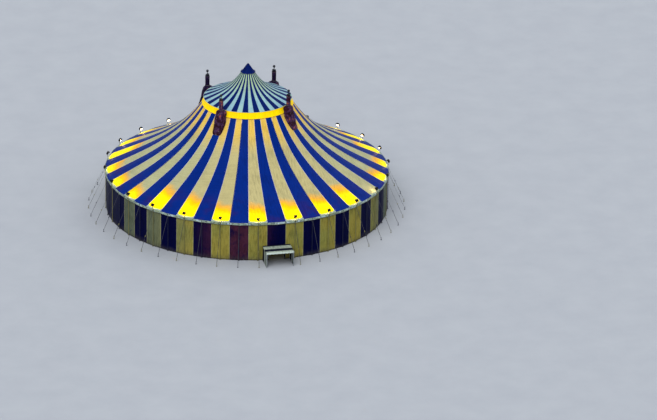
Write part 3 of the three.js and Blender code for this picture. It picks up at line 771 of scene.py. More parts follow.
def settle(name, bevel=0.0, segments=1):
    """Names the new primitive, applies its place and rounds its edges."""
    piece = bpy.context.object
    piece.name = piece.data.name = name
    bpy.ops.object.transform_apply(location=True, rotation=True, scale=True)
    if bevel:
        edge = piece.modifiers.new("edge", "BEVEL")
        edge.width, edge.segments, edge.limit_method = bevel, segments, "ANGLE"
        bpy.ops.object.modifier_apply(modifier=edge.name)
    return piece


def block(name, size, at, turn=(0, 0, 0), bevel=0.002, segments=1):
    choose()
    bpy.ops.mesh.primitive_cube_add(size=1, location=at, rotation=turn, scale=size)
    return settle(name, bevel, segments)


def rod(name, start, end, radius, sides=10, bevel=0.0):
    start, end = Vector(start), Vector(end)
    choose()
    bpy.ops.mesh.primitive_cylinder_add(
        vertices=sides, radius=radius, depth=(end - start).length, location=(start + end) / 2,
        rotation=(end - start).to_track_quat("Z", "Y").to_euler())
    return settle(name, bevel)


def disc(name, at, facing, radius, depth, sides=12, bevel=0.0):
    half = Vector(facing).normalized() * depth / 2
    return rod(name, Vector(at) - half, Vector(at) + half, radius, sides, bevel)


def loop(name, at, turn, radius, thick, sides=16):
    choose()
    bpy.ops.mesh.primitive_torus_add(location=at, rotation=turn, major_radius=radius, minor_radius=thick,
                                     major_segments=sides, minor_segments=6)
    return settle(name)


def shape_faces(piece, chosen, *steps):
    """Works in edit mode on the faces that chosen picks, one operator call after another."""
    choose(piece)
    bpy.ops.object.mode_set(mode="EDIT")
    bpy.ops.mesh.select_mode(type="FACE")
    bpy.ops.mesh.select_all(action="DESELECT")
    work = bmesh.from_edit_mesh(piece.data)
    for face in work.faces:
        face.select_set(bool(chosen(face)))
    bmesh.update_edit_mesh(piece.data)
    for operator, options in steps:
        operator(**options)
    bpy.ops.object.mode_set(mode="OBJECT")
    return piece


def push(x, y, z):
    """An extrude step."""
    return bpy.ops.mesh.extrude_region_move, {"TRANSFORM_OT_translate": {"value": (x, y, z)}}


def sink(depth):
    """An extrude step of each face along its own normal, inwards."""
    return bpy.ops.mesh.extrude_faces_move, {"TRANSFORM_OT_shrink_fatten": {"value": -depth}}


def inset(width):
    return bpy.ops.mesh.inset, {"thickness": width}


def facing(x, y, z, least=0.9):
    aim = Vector((x, y, z)).normalized()
    return lambda face: face.normal.dot(aim) > least


def united(name, pieces):
    choose(*pieces)
    if len(pieces) > 1:
        bpy.ops.object.join()
    pieces[0].name = pieces[0].data.name = name
    return pieces[0]


def soften(piece):
    """Smooth shading, but for the sharp edges."""
    choose(piece)
    bpy.ops.object.shade_smooth_by_angle(angle=math.radians(35))
    return piece


def copies(name, unit, angles, keep=False):
    """Copies of a unit turned round the tent's axis and joined; the unit was made at angle 0."""
    made = []
    for angle in angles:
        made.append(link(name, unit.data.copy()))
        made[-1].data.transform(Matrix.Rotation(math.radians(angle), 4, "Z"))
    if not keep:
        discard(unit)
    return united(name, made)


# Operators

class BIGTOP_OT_stage(bpy.types.Operator):
    """Set up the camera, the floor and the soft lights"""
    bl_idname = "bigtop.stage"
    bl_label = "Camera, floor and lights"

    def execute(self, context):
        s = context.scene.big_top_stage
        a, e, roll = s.azimuth, s.elevation, s.roll
        ahead = -Vector((math.sin(a) * math.cos(e), -math.cos(a) * math.cos(e), math.sin(e)))
        level = Vector((math.cos(a), math.sin(a), 0))
        down = ahead.cross(level)
        right = math.cos(roll) * level + math.sin(roll) * down
        lower = -math.sin(roll) * level + math.cos(roll) * down
        tent = Vector((TENT_RIGHT, TENT_BELOW, s.distance))
        place = Matrix.Translation(-(Matrix((right, lower, ahead)).transposed() @ tent))
        data = bpy.data.cameras.new("camera")
        data.sensor_width, data.lens = 36.0, LENS
        data.clip_start, data.clip_end = 1.0, 3000.0
        camera = link("camera", data)
        camera.matrix_world = place @ Matrix((right, -lower, -ahead)).transposed().to_4x4()
        context.scene.camera = camera
        context.scene.view_settings.view_transform = "Standard"

        choose()
        bpy.ops.mesh.primitive_plane_add(size=900, location=(0, 0, -0.002))
        floor = settle("floor")
        f = Finish("floor_paint", Roughness=0.85)
        f.shade(Base_Color=f.mix(f.noise(0.4, 4, 0.6), (0.66, 0.67, 0.70), (0.72, 0.73, 0.75)))
        cover(floor, "floor_paint")

        world = bpy.data.worlds.new("studio")
        world.use_nodes = True
        background = world.node_tree.nodes["Background"]
        background.inputs[0].default_value = (0.86, 0.93, 1.0, 1.0)
        background.inputs[1].default_value = s.sky
        context.scene.world = world
        lights = (("key", s.sun, 50, (-0.45, -0.75, 1.0)), ("back", 0.45, 70, (0.9, 0.6, 0.9)))
        for name, strength, spread, aim in lights:
            sun = bpy.data.lights.new(name, "SUN")
            sun.energy, sun.angle = strength, math.radians(spread)
            link(name, sun).rotation_euler = Vector(aim).to_track_quat("Z", "Y").to_euler()
        return {"FINISHED"}


class BIGTOP_OT_roof(bpy.types.Operator):
    """Stretch the eight striped roof cloths between the collar and the eave"""
    bl_idname = "bigtop.roof"
    bl_label = "Roof cloths"

    def light(self, mesh):
        """Marks every gore with how far up it the lamp at its end shines."""
        marks = np.empty(len(mesh.loops) * 3, np.float32)
        mesh.attributes["cloth"].data.foreach_get("vector", marks)
        gore = np.floor(marks[::3].reshape(-1, 4).mean(axis=1)).astype(int)
        number = (gore + GORES // 2) % GORES - GORES // 2
        reach = np.array([LAMP_REACH.get(n, PLAIN_LAMP_REACH) for n in number.tolist()], np.float32)
        mesh.attributes.new("lamplight", "FLOAT", "FACE").data.foreach_set("value", reach)

    def execute(self, context):
        finish = coated("roof_cloth", roof_colour, creases=0.01)
        low_band = CANOPY_EDGE - 0.4
        radii = np.concatenate([
            np.linspace(CANOPY_TOP, MAST_SLOT, 9), np.linspace(MAST_SLOT, low_band, 38)[1:],
            np.linspace(low_band, CANOPY_EDGE, 8)[1:]])[::-1]
        for label, (centre, gores) in SECTIONS.items():
            start = centre - gores * GORE_ANGLE / 2
            u, r = np.meshgrid(np.clip(gore_columns(gores), 0.0004, gores - 0.0004), radii)
            angle = start + u * GORE_ANGLE
            number = np.floor(u) + start / GORE_ANGLE
            across = u % 1
            t = (r - CANOPY_TOP) / (CANOPY_EDGE - CANOPY_TOP)
            near_eave = np.exp(-(CANOPY_EDGE - r) / 0.55)
            near_ring = np.exp(-(r - CANOPY_TOP) / 0.5)
            ripple = wavy(across * 3 + chance(number)) * 0.0045 * near_eave
            ripple += wavy(across * 2 + chance(number, 3)) * 0.006 * near_ring
            ripple += np.sin(r * 3.1 + 6.28 * chance(number, 5)) * 0.003 * np.sin(np.pi * t)
            sag = roof_sag(r) * np.cos(np.pi * across) ** 2
            outer = outline(angle, r, roof_height(r) - sag + weld(across, 0.0035) + ripple - 0.002)
            kept = None
            if gores == 7:
                left, right = u[:-1, :-1] + 0.01 - gores / 2, u[:-1, 1:] - 0.01 - gores / 2
                slot = (np.abs(left) < 0.5) & (np.abs(right) < 0.5)
                kept = ~(slot & (r[:-1, :-1] <= MAST_SLOT + 1e-6))
            marks = marked_round(angle, outer, r)
            piece = cloth(f"roof_cloth_{label}", outer, marks, sizes().cloth, kept=kept)
            self.light(piece.data)
            dress(piece, finish, "roof_cloth", f"canopy_section_{label}")
        return {"FINISHED"}


class BIGTOP_OT_roof_fittings(bpy.types.Operator):
    """Lace the roof cloths together and sew the radial belts under them"""
    bl_idname = "bigtop.roof_fittings"
    bl_label = "Lacing and roof belts"

    def execute(self, context):
        s = sizes()
        ropes, flaps = [], []
        for angle in (middle + edge for middle in (0, 90, 180, 270) for edge in (-LACING_EDGE, LACING_EDGE)):
            flaps.append(roof_strip(
                "flap", angle, np.linspace(CANOPY_EDGE - 0.06, LACING_TOP, 60), 0.032, 5,
                lambda r, aside: 0.006 * (1 - (aside / 0.036) ** 4) + 0.002 - roof_sag(r), 0.004))
            r = np.linspace(CANOPY_EDGE - 0.12, LACING_TOP + 0.04, 112)
            height = roof_height(r) - roof_sag(r) + 0.012
            ropes.append(tube("lacing", up_roof(angle, r, np.tile([-0.022, 0.022], 56), height), s.rope, 5))
        flap_finish = coated("lacing_flap", plain_colour((0.02, 0.10, 0.42), (0.10, 0.12, 0.40)))
        dress(united("lacing_flaps", flaps), flap_finish, "roof_cloth")
        rope_finish = woven("lacing_rope", (0.70, 0.72, 0.76), (0.5, 0.52, 0.58), 0.008)
        dress(united("lacing_ropes", ropes), rope_finish, "guy_webbing")

        to_mast = np.linspace(CANOPY_EDGE - 0.02, MAST_SLOT + 0.06, 22)
        to_ring = np.concatenate([to_mast, np.linspace(MAST_SLOT, CANOPY_TOP + 0.06, 4)])
        belts = [roof_strip("belt", angle, to_mast if angle % 90 == 45 else to_ring, 0.03, 3,
                            lambda r, aside: -s.cloth * 1.15 - 0.008, 0.003) for angle in GORE_MIDDLES]
        belt_finish = woven("belt_webbing", (0.62, 0.62, 0.58), (0.44, 0.44, 0.44))
        dress(united("roof_belts", belts), belt_finish, "guy_webbing")
        return {"FINISHED"}


class BIGTOP_OT_collar(bpy.types.Operator):
    """Wrap the yellow collar round the ring"""
    bl_idname = "bigtop.collar"
    bl_label = "Ring collar"

    def execute(self, context):
        u, t = np.meshgrid(gore_columns(GORES, 6), np.linspace(0, 1, 13))
        angle = (u - 0.5) * GORE_ANGLE
        r = COLLAR_HEAD + (COLLAR_FOOT - COLLAR_HEAD) * t
        hem = 0.008 * ((t < 0.12) | (t > 0.88))
        pleat = (0.006 * wavy(u * 2) - 0.016) * np.sin(np.pi * t)
        outer = outline(angle, r, collar_height(r) - 0.002, pleat + hem - 0.004)
        marks = marked(u + GORES, outer, np.radians(angle) * 3.4)
        piece = cloth("collar_cloth", outer, marks, sizes().cloth, True)
        dress(piece, coated("collar_cloth", collar_colour), "collar_cloth", "ring_collar")
        ropes = [hoop("piping", outline(ONCE_ROUND, edge, collar_height(edge) + 0.004, 0.004), 0.010, 7)
                 for edge in (COLLAR_FOOT, COLLAR_HEAD)]
        rope_finish = woven("piping_rope", (0.95, 0.80, 0.12), (0.80, 0.66, 0.16), 0.008)
        piping = dress(united("collar_piping", ropes), rope_finish, "collar_cloth")
        return {"FINISHED"}


class BIGTOP_OT_cupola(bpy.types.Operator):
    """Put the striped cupola and its pointed cap on the ring"""
    bl_idname = "bigtop.cupola"
    bl_label = "Cupola and cap"

    def execute(self, context):
        s = sizes()
        radii = CUPOLA_TOP + (CUPOLA_EDGE - CUPOLA_TOP) * np.linspace(1, 0, 37) ** 1.15
        u, r = np.meshgrid(gore_columns(GORES, 5), radii)
        angle = (u - 0.5) * GORE_ANGLE
        across = u % 1
        t = (r - CUPOLA_TOP) / (CUPOLA_EDGE - CUPOLA_TOP)
        sag = 0.008 * np.cos(np.pi * across) ** 2 * np.sin(np.pi * t)
        outer = outline(angle, r, cupola_height(r) - sag + weld(across, 0.003) - 0.001)
        marks = marked(u + GORES, outer, np.radians(angle) * r)
        piece = cloth("cupola_cloth", outer, marks, s.cloth, True)
        dress(piece, coated("cupola_cloth", cupola_colour), "cupola_cloth", "cupola_canopy")
        edge = outline(ONCE_ROUND, CUPOLA_EDGE, cupola_height(CUPOLA_EDGE) - 0.006)
        rope_finish = woven("hem_rope", (0.72, 0.80, 0.78), (0.52, 0.60, 0.60), 0.008)
        hem = dress(hoop("cupola_hem", edge, 0.011, 7), rope_finish, "cupola_cloth")

        seat = float(cupola_height(CUPOLA_TOP))
        ridges, h = np.meshgrid(np.linspace(0, CAP_RIDGES, CAP_RIDGES * 4 + 1), np.linspace(0, 1, 22))
        angle = ridges * 360 / CAP_RIDGES
        foot = CAP_RADIUS * (1 - h) ** 0.92 * (1 - 0.16 * np.sin(np.pi * np.minimum(h * 1.1, 1))) + 0.020
        ridge = 0.012 * np.cos(2 * np.pi * ridges) * np.sin(np.pi * np.clip(h + 0.12, 0, 1))
        skirt = 0.010 * (h < 0.06)
        shape = ring(angle, foot + ridge + skirt, seat + 0.003 + (CAP_HEIGHT - 0.015) * h)
        cap = cloth("cap_cloth", shape, marked(ridges, shape, np.radians(angle) * 0.6), s.cloth * 0.9, True)
        cap_finish = coated("cap_cloth", plain_colour(colours().ink, (0.0, 0.06, 0.28), 0.7, 2.0))
        dress(cap, cap_finish, "cap_cloth", "cupola_cap")
        top = seat + CAP_HEIGHT - 0.014
        knob = [rod("knob", (0, 0, top - 0.05), (0, 0, top + 0.004), 0.022, 14, 0.003),
                loop("knob", (0, 0, top - 0.045), (0, 0, 0), 0.026, 0.006)]
        choose()
        bpy.ops.mesh.primitive_uv_sphere_add(
            segments=16, ring_count=10, radius=0.017, location=(0, 0, top + 0.012))
        knob.append(settle("knob"))
        dress(soften(united("cap_finial", knob)), "mast_paint", "mast_steel")
        cord = hoop("cap_draw_rope", ring(np.linspace(0, 360, 97), CAP_RADIUS + 0.03, seat + 0.022), 0.007)
        dress(cord, woven("cap_rope", (0.35, 0.38, 0.5), (0.22, 0.25, 0.38), 0.006), "cap_cloth")
        return {"FINISHED"}


class BIGTOP_OT_hoods(bpy.types.Operator):
    """Tie a folded boot round each mast where it passes the roof"""
    bl_idname = "bigtop.hoods"
    bl_label = "Mast hoods"

    def roof(self, angle, u, v):
        """Height of the roof or the collar, at a place out from the axis and aside from the mast."""
        turn = angle + np.degrees(np.arctan2(v, u))
        r = np.hypot(u, v) * EAVE_RADIUS / facet(turn, EAVE_RADIUS)
        on_collar = r < COLLAR_FOOT + 0.012
        return np.where(on_collar, collar_height(np.minimum(r, COLLAR_FOOT)), roof_height(r))

    def oblong(self, turn, inner_end, outer_end, half):
        """A rounded oblong that narrows outwards, as steps out and aside from the mast."""
        cos, sin = np.cos(turn), np.sin(turn)
        reach = (outer_end - inner_end) / 2
        u = inner_end + reach + reach * np.sign(cos) * np.abs(cos) ** HOOD_SQUARENESS
        taper = 1 - 0.12 * ((u - inner_end) / (2 * reach)) ** 2
        return u - MAST_CIRCLE, half * taper * np.sign(sin) * np.abs(sin) ** HOOD_SQUARENESS

    def boot(self, angle):
        """Turns round the mast and grid of a hood: up its flanks, over the shoulder, up the sleeve."""
        turn, row = np.meshgrid(np.linspace(0, 2 * np.pi, 129), np.linspace(0, 2, 57))
        foot_u, foot_v = self.oblong(turn, HOOD_INNER, HOOD_OUTER, HOOD_HALF)
        top_u, top_v = self.oblong(turn, HOOD_SHOULDER_INNER, HOOD_SHOULDER_OUTER, HOOD_SHOULDER_HALF)
        foot = self.roof(angle, foot_u + MAST_CIRCLE, foot_v) + 0.008
        t = np.clip(row / 1.1, 0, 1)
        over = np.clip((row - 1.1) / 0.2, 0, 1)
        sleeve = np.clip((row - 1.3) / 0.7, 0, 1)
        du = (foot_u + (top_u - foot_u) * t) * (1 - over) + HOOD_NECK * np.cos(turn) * over
        dv = (foot_v + (top_v - foot_v) * t) * (1 - over) + HOOD_NECK * np.sin(turn) * over
        height = foot + (HOOD_SHOULDER - foot) * t
        height += (HOOD_NECK_START - HOOD_SHOULDER) * np.sin(over * np.pi / 2)
        height += (HOOD_TOP - HOOD_NECK_START) * sleeve
        size = np.maximum(np.hypot(du, dv), 1e-6)
        pull = np.sin(np.pi * t) * (1 - over)
        wave = 0.020 * np.sin(5 * turn + angle + 1.4 * t) + 0.014 * np.sin(11 * turn - 3.5 * t)
        wave += 0.016 * np.sin(3 * turn + 9 * t + angle)
        gather = 0.006 * np.sin(16 * turn + 2 * row) * np.clip(row - 0.9, 0, 1)
        grow = 1 - 0.06 * pull + (wave * pull * np.minimum(size / 0.3, 1.4) + gather) / size
        grow = np.maximum(grow, 0.155 / size)
        u, v = MAST_CIRCLE + du * grow, dv * grow
        sin, cos = math.sin(math.radians(angle)), math.cos(math.radians(angle))
        outer = np.stack([u * sin + v * cos, -u * cos + v * sin, height], axis=-1)
        outer[:, -1] = outer[:, 0]
        return turn, outer

    def execute(self, context):
        finish = coated("hood_cloth", hood_colour, wear=0.2, creases=0.03)
        rope_finish = woven("hood_rope", (0.30, 0.27, 0.30), (0.16, 0.14, 0.18), 0.006)
        steps = np.linspace(0, 2 * np.pi, 49)
        for label, angle in MAST_ANGLES.items():
            turn, outer = self.boot(angle)
            piece = cloth(f"hood_cloth_{label}", outer, marked(turn, outer, turn * 0.4), sizes().cloth, True)
            dress(piece, finish, "hood_cloth", f"mast_hood_{label}")
            middle = spot(angle, MAST_CIRCLE, 0)
            x, y = middle.x + 0.18 * np.cos(steps), middle.y + 0.18 * np.sin(steps)
            ties = [hoop("tie", np.stack([x, y, z + 0.008 * np.sin(steps + z * 90)], axis=-1), 0.010)
                    for z in (HOOD_NECK_START + 0.04, HOOD_NECK_START + 0.066, HOOD_TOP - 0.05)]
            ties.append(hoop("foot", outer[0] + [0, 0, 0.006], 0.010))
            tie = dress(united(f"hood_ties_{label}", ties), rope_finish, "hood_cloth")
        return {"FINISHED"}


class BIGTOP_OT_trim(bpy.types.Operator):
    """Hang the pale valance with its ropes and buckles round the eave"""
    bl_idname = "bigtop.trim"
    bl_label = "Eave trim"

    def execute(self, context):
        finish = coated("trim_cloth", trim_colour, wear=0.16)
        rope_finish = woven("trim_rope", (0.66, 0.70, 0.62), (0.48, 0.52, 0.46), 0.008)
        for label, (centre, count) in QUARTERS.items():
            start = centre - count * GORE_ANGLE / 2
            u, t = np.meshgrid(gore_columns(count, 9), np.linspace(0, 1, 10))
            angle = start + u * GORE_ANGLE
            lift = np.cos(2 * np.pi * (u % 1)) * 0.010 * t
            wave = (0.006 * wavy(3 * u + chance(np.floor(u), 2)) + 0.003 * np.sin(14.3 * u)) * t ** 1.3
            height = TRIM_HEAD - (TRIM_HEAD - TRIM_FOOT) * t + lift
            shape = outline(angle, EAVE_RADIUS, height, wave - 0.006)
            piece = cloth(f"trim_cloth_{label}", shape, marked_round(angle, shape, EAVE_RADIUS), sizes().cloth)
            dress(piece, finish, "trim_cloth", f"eave_trim_{label}")
            lower = shape[-1] * [1.0003, 1.0003, 1] - [0, 0, 0.002]
            upper = shape[0] * [1.0004, 1.0004, 1] - [0, 0, 0.012]
            ropes = united(f"trim_ropes_{label}", [tube("hem", lower, 0.009), tube("head", upper, 0.008)])
            dress(ropes, rope_finish, "trim_cloth")

        at = -EAVE_RADIUS
        plate = block("buckle", (0.05, 0.010, 0.07), (0, at - 0.004, TRIM_HEAD - 0.055), bevel=0.003)
        shape_faces(plate, facing(0, -1, 0), inset(0.012), push(0, 0.004, 0))
        unit = united("buckle", [
            plate, loop("ring", (0, at - 0.016, TRIM_HEAD - 0.07), UPRIGHT, 0.018, 0.004, 12),
            block("tongue", (0.022, 0.005, 0.11), (0, at - 0.008, TRIM_FOOT + 0.05), bevel=0.001)])
        seam_at = at * math.cos(math.radians(GORE_ANGLE / 2))
        small = block("eyelet", (0.03, 0.008, 0.03), (0, seam_at - 0.002, TRIM_HEAD - 0.05), bevel=0.002)
        shape_faces(small, facing(0, -1, 0), inset(0.006), push(0, 0.003, 0))
        whole = [copies("buckles", unit, GORE_MIDDLES), copies("eyelets", small, GORE_SEAMS)]
        dress(soften(united("trim_buckles", whole)), "dark_paint", "mast_steel")
        return {"FINISHED"}


class BIGTOP_OT_walls(bpy.types.Operator):
    """Hang the folded side walls, with their hems and ground pegs"""
    bl_idname = "bigtop.walls"
    bl_label = "Side walls"

    def execute(self, context):
        s = sizes()
        finish = coated("wall_cloth", wall_colour, wear=0.18, creases=0.012)
        top = float(roof_height(WALL_RADIUS)) - 0.03
        pieces = {f"wall_section_{label}": span for label, span in SECTIONS.items() if label != "front"}
        pieces["wall_panels_left_of_door"] = (-1.5 * GORE_ANGLE, 2)
        pieces["wall_panels_right_of_door"] = (1.5 * GORE_ANGLE, 2)
        pieces["doorway_panel"] = (0, 1)
        jamb = math.degrees(math.asin(DOOR_HALF / WALL_RADIUS))
        door = jamb / GORE_ANGLE
        for node, (centre, gores) in pieces.items():
            with_door = node == "doorway_panel"
            start = centre - gores * GORE_ANGLE / 2
            columns = gore_columns(gores, 14)
            heights = np.linspace(top, 0.0, 27)
            if with_door:
                columns = np.sort(np.concatenate([columns, [0.5 - door, 0.5 + door]]))
                heights = np.sort(np.append(heights, DOOR_HEIGHT))[::-1]
            u, z = np.meshgrid(columns, heights)
            angle = start + u * GORE_ANGLE
            across = u % 1
            number = np.floor(np.clip(u, 0, gores - 0.01)) + round(start / GORE_ANGLE + 0.5)
            low = 1 - z / top
            tight = np.sin(np.pi * across) ** 0.5
            wave = np.sin(2 * np.pi * (4 * across + chance(number, 1)) + 0.6 * np.sin(z * 1.7 + number))
            wave += 0.6 * np.sin(2 * np.pi * (7 * across + chance(number, 7)) - z * 0.4)
            fold = s.fold * 0.5 * (0.3 + 0.7 * low) * wave * tight - 0.004 * tight
            hem = 0.0025 * (z < 0.08)
            outer = outline(angle, WALL_RADIUS, z, fold + hem + weld(across, 0.003) - 0.009)
            kept = None
            if with_door:
                inside = np.abs((u[:-1, :-1] + u[:-1, 1:]) / 2 - 0.5) < door
                kept = ~(inside & (z[:-1, :-1] < DOOR_HEIGHT + 0.001))
            name = node.replace("wall_", "wall_cloth_").replace("doorway_panel", "wall_cloth_doorway")
            piece = cloth(name, outer, marked_round(angle, outer, WALL_RADIUS), s.cloth, kept=kept)
            dress(piece, finish, "wall_cloth", node)

        side = [(1, 0.012), (1, 0.4), (1, 0.8), (1, 1.12), (0.5, 1.127)]
        edge = [(-share, z) for share, z in side] + [(0, 1.127)] + side[::-1]
        line = [spot(share * jamb, float(facet(share * jamb, WALL_RADIUS)) - 0.006, z) for share, z in edge]
        dress(tube("doorway_edge", line, 0.012, 8), "trim_rope", "wall_cloth")

        at = -WALL_RADIUS - 0.012
        unit = united("peg", [
            rod("peg", (0, at, 0.002), (0, at, 0.075), 0.006, 6),
            disc("peg", (0, at, 0.078), UP, 0.012, 0.008, 8),
            loop("peg", (0, at + 0.006, 0.052), (math.radians(20), 0, 0), 0.014, 0.0035, 8)])
        spots = [(k + 0.5) * GORE_ANGLE / 2 for k in range(2 * GORES)]
        beside_door = [a for a in spots if abs((a + 180) % 360 - 180) > 6]
        dress(soften(copies("wall_pegs", unit, beside_door)), "galvanised", "galvanised_steel")
        return {"FINISHED"}


class BIGTOP_OT_masts(bpy.types.Operator):
    """Finish the lattice masts: rungs, flanges, pulleys, hoist ropes and base bolts"""
    bl_idname = "bigtop.masts"
    bl_label = "Lattice masts"

    def execute(self, context):
        metal("mast_paint", (0.055, 0.07, 0.12), (0.09, 0.11, 0.17), 0.55, 18, 0.15)
        metal("dark_paint", (0.09, 0.09, 0.10), (0.15, 0.15, 0.16), 0.5, 24, 0.4)
        metal("galvanised", (0.62, 0.64, 0.67), (0.74, 0.76, 0.78), 0.42)
        woven("hoist_rope", (0.42, 0.42, 0.43), (0.3, 0.3, 0.32), 0.006)
        h = MAST_HALF - 0.016
        at = -MAST_CIRCLE
        square = ((-h, -h), (h, -h), (h, h), (-h, h))
        parts = []
        for n in range(1, MAST_BAYS):
            z = MAST_FOOT + n * (MAST_TOP - MAST_FOOT) / MAST_BAYS
            for a, b in zip(square, square[1:] + square[:1]):
                parts.append(rod("rung", (a[0], at + a[1], z), (b[0], at + b[1], z), 0.009, 8))
        for z in (3.4, 6.8):
            for x, y in corners(h, h):
                flange = block("flange", (0.062, 0.062, 0.014), (x, at + y, z), bevel=0.003)
                parts.append(shape_faces(flange, facing(*UP), inset(0.008), push(0, 0, 0.004)))
                parts.append(disc("bolt", (x * 1.2, at + y * 1.2, z + 0.012), UP, 0.008, 0.012, 6))
        for x, y in corners(0.17, 0.17):
            parts.append(disc("bolt", (x, at + y, 0.036), UP, 0.016, 0.014, 6, 0.002))
            parts.append(disc("washer", (x, at + y, 0.032), UP, 0.026, 0.005, 12))
        for side in (-1, 1):
            x = side * (MAST_HALF + 0.025)
            wheel = disc("pulley", (x, at, PULLEY_HEIGHT), SIDEWAYS, 0.06, 0.03, 18)
            for way in (1, -1):
                shape_faces(wheel, facing(way, 0, 0), inset(0.012), push(-0.006 * way, 0, 0))
            cheek_at = (x + 0.019 * side, at, PULLEY_HEIGHT - 0.015)
            parts += [wheel, block("cheek", (0.006, 0.09, 0.14), cheek_at, bevel=0.002)]
        parts.append(rod("axle", (-0.155, at, PULLEY_HEIGHT), (0.155, at, PULLEY_HEIGHT), 0.010, 8))
        drum_at = at - 0.14
        winch = rod("winch", (-0.09, drum_at, WINCH_HEIGHT), (0.09, drum_at, WINCH_HEIGHT), 0.05, 16)
        shape_faces(winch, lambda face: abs(face.normal.x) > 0.9, inset(-0.012))
        parts += [winch, block("winch", (0.22, 0.06, 0.02), (0, at - 0.12, 0.43), bevel=0.003)]
        parts += [disc("winch", (x, drum_at, WINCH_HEIGHT), SIDEWAYS, 0.07, 0.012, 20, 0.002)
                  for x in (-0.095, 0.095)]
        unit = soften(united("mast_fittings", parts))
        ropes = united("hoist", [rod("hoist", (x, at, WINCH_HEIGHT), (x, at, PULLEY_HEIGHT - 0.06), 0.006, 6)
                                 for x in (-0.115, 0.115)])
        for label, angle in MAST_ANGLES.items():
            cover(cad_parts[f"mast_{label}"], "mast_paint")
            dress(copies(f"mast_fittings_{label}", unit, [angle], True), "mast_paint", "mast_steel")
            dress(copies(f"hoist_ropes_{label}", ropes, [angle], True), "hoist_rope", "mast_steel")
        discard(unit, ropes)
        return {"FINISHED"}


class BIGTOP_OT_ring(bpy.types.Operator):
    """Finish the ring truss: posts, gusset plates and chain hoists at the masts"""
    bl_idname = "bigtop.ring"
    bl_label = "Ring truss"

    def execute(self, context):
        cover(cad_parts["ring_truss"], "galvanised")
        low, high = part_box("ring_truss")
        foot = spot(0, 3.52, float(roof_height(CANOPY_TOP)) + 0.042)
        head = spot(0, 3.4, high.z - 0.03)
        parts = [rod("post", foot, head, 0.014, 8)]
        for point in (foot, head):
            plate = block("gusset", (0.10, 0.012, 0.09), point, bevel=0.003)
            parts.append(shape_faces(plate, facing(0, -1, 0), inset(0.02), push(0, -0.004, 0)))
            for x in (-0.03, 0.03):
                parts.append(disc("bolt", point + Vector((x, -0.012, 0)), (0, 1, 0), 0.008, 0.014, 6))
        posts = copies("ring_posts", united("post", parts), GORE_MIDDLES)
        dress(soften(posts), "galvanised", "galvanised_steel")

        at = -HOIST_CIRCLE
        hoist = [block("hoist", (0.11, 0.08, 0.15), (0, at, low.z - 0.33), bevel=0.012, segments=2),
                 loop("hook", (0, at, low.z - 0.228), UPRIGHT, 0.026, 0.007)]
        for n in range(9):
            turn = (math.radians(90), 0, math.radians(90 * (n % 2)))
            hoist.append(loop("link", (0, at, low.z - 0.185 + n * 0.022), turn, 0.014, 0.004, 8))
        shape_faces(hoist[0], facing(0, -1, 0), inset(0.012), push(0, 0.006, 0))
        hoists = copies("chain_hoists", united("hoist", hoist), MAST_ANGLES.values())
        dress(soften(hoists), "dark_paint", "mast_steel")
        return {"FINISHED"}


class BIGTOP_OT_poles(bpy.types.Operator):
    """Finish the side poles: round tubes, sleeves, foot pins and cable clamps"""
    bl_idname = "bigtop.poles"
    bl_label = "Side poles"

    def execute(self, context):
        # Painted reflection of the wall panels behind the poles and stakes.
        reflecting_pole_finish("pole_reflection_and_dust", (0.11, 0.13, 0.24), (0.50, 0.48, 0.29))
        for name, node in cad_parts.items():
            if name.startswith(("side_poles", "eave_cable")):
                cover(node, "pole_reflection_and_dust")
        at = -POLE_CIRCLE
        top = float(roof_height(POLE_CIRCLE)) - 0.0385
        pole = rod("pole", (0, at, 0.012), (0, at, top), 0.0196, 16)
        parts = [shape_faces(pole, facing(0, 0, -1), inset(0.004))]
        for z, deep in ((0.05, 0.07), (1.55, 0.05), (CABLE_HEIGHT - 0.045, 0.09)):
            parts.append(rod("sleeve", (0, at, z), (0, at, z + deep), 0.0245, 16, 0.002))
        parts.append(disc("pin", (0, at, 1.575), SIDEWAYS, 0.006, 0.075, 6))
        for x in (-0.035, 0.035):
            parts.append(rod("spike", (x, at - 0.03, 0.010), (x, at - 0.03, 0.045), 0.007, 6))
            parts.append(disc("spike", (x, at - 0.03, 0.046), UP, 0.013, 0.007, 8))
        clamp = block("clamp", (0.05, 0.026, 0.034), (0, at - 0.022, CABLE_HEIGHT), bevel=0.003)
        parts.append(shape_faces(clamp, facing(0, -1, 0), inset(0.007), push(0, -0.005, 0)))
        unit = soften(united("pole", parts))
        for label, span in STRETCHES.items():
            dress(copies(f"pole_tubes_{label}", unit, places(span), True), "pole_reflection_and_dust", "galvanised_steel")
        discard(unit)
        return {"FINISHED"}


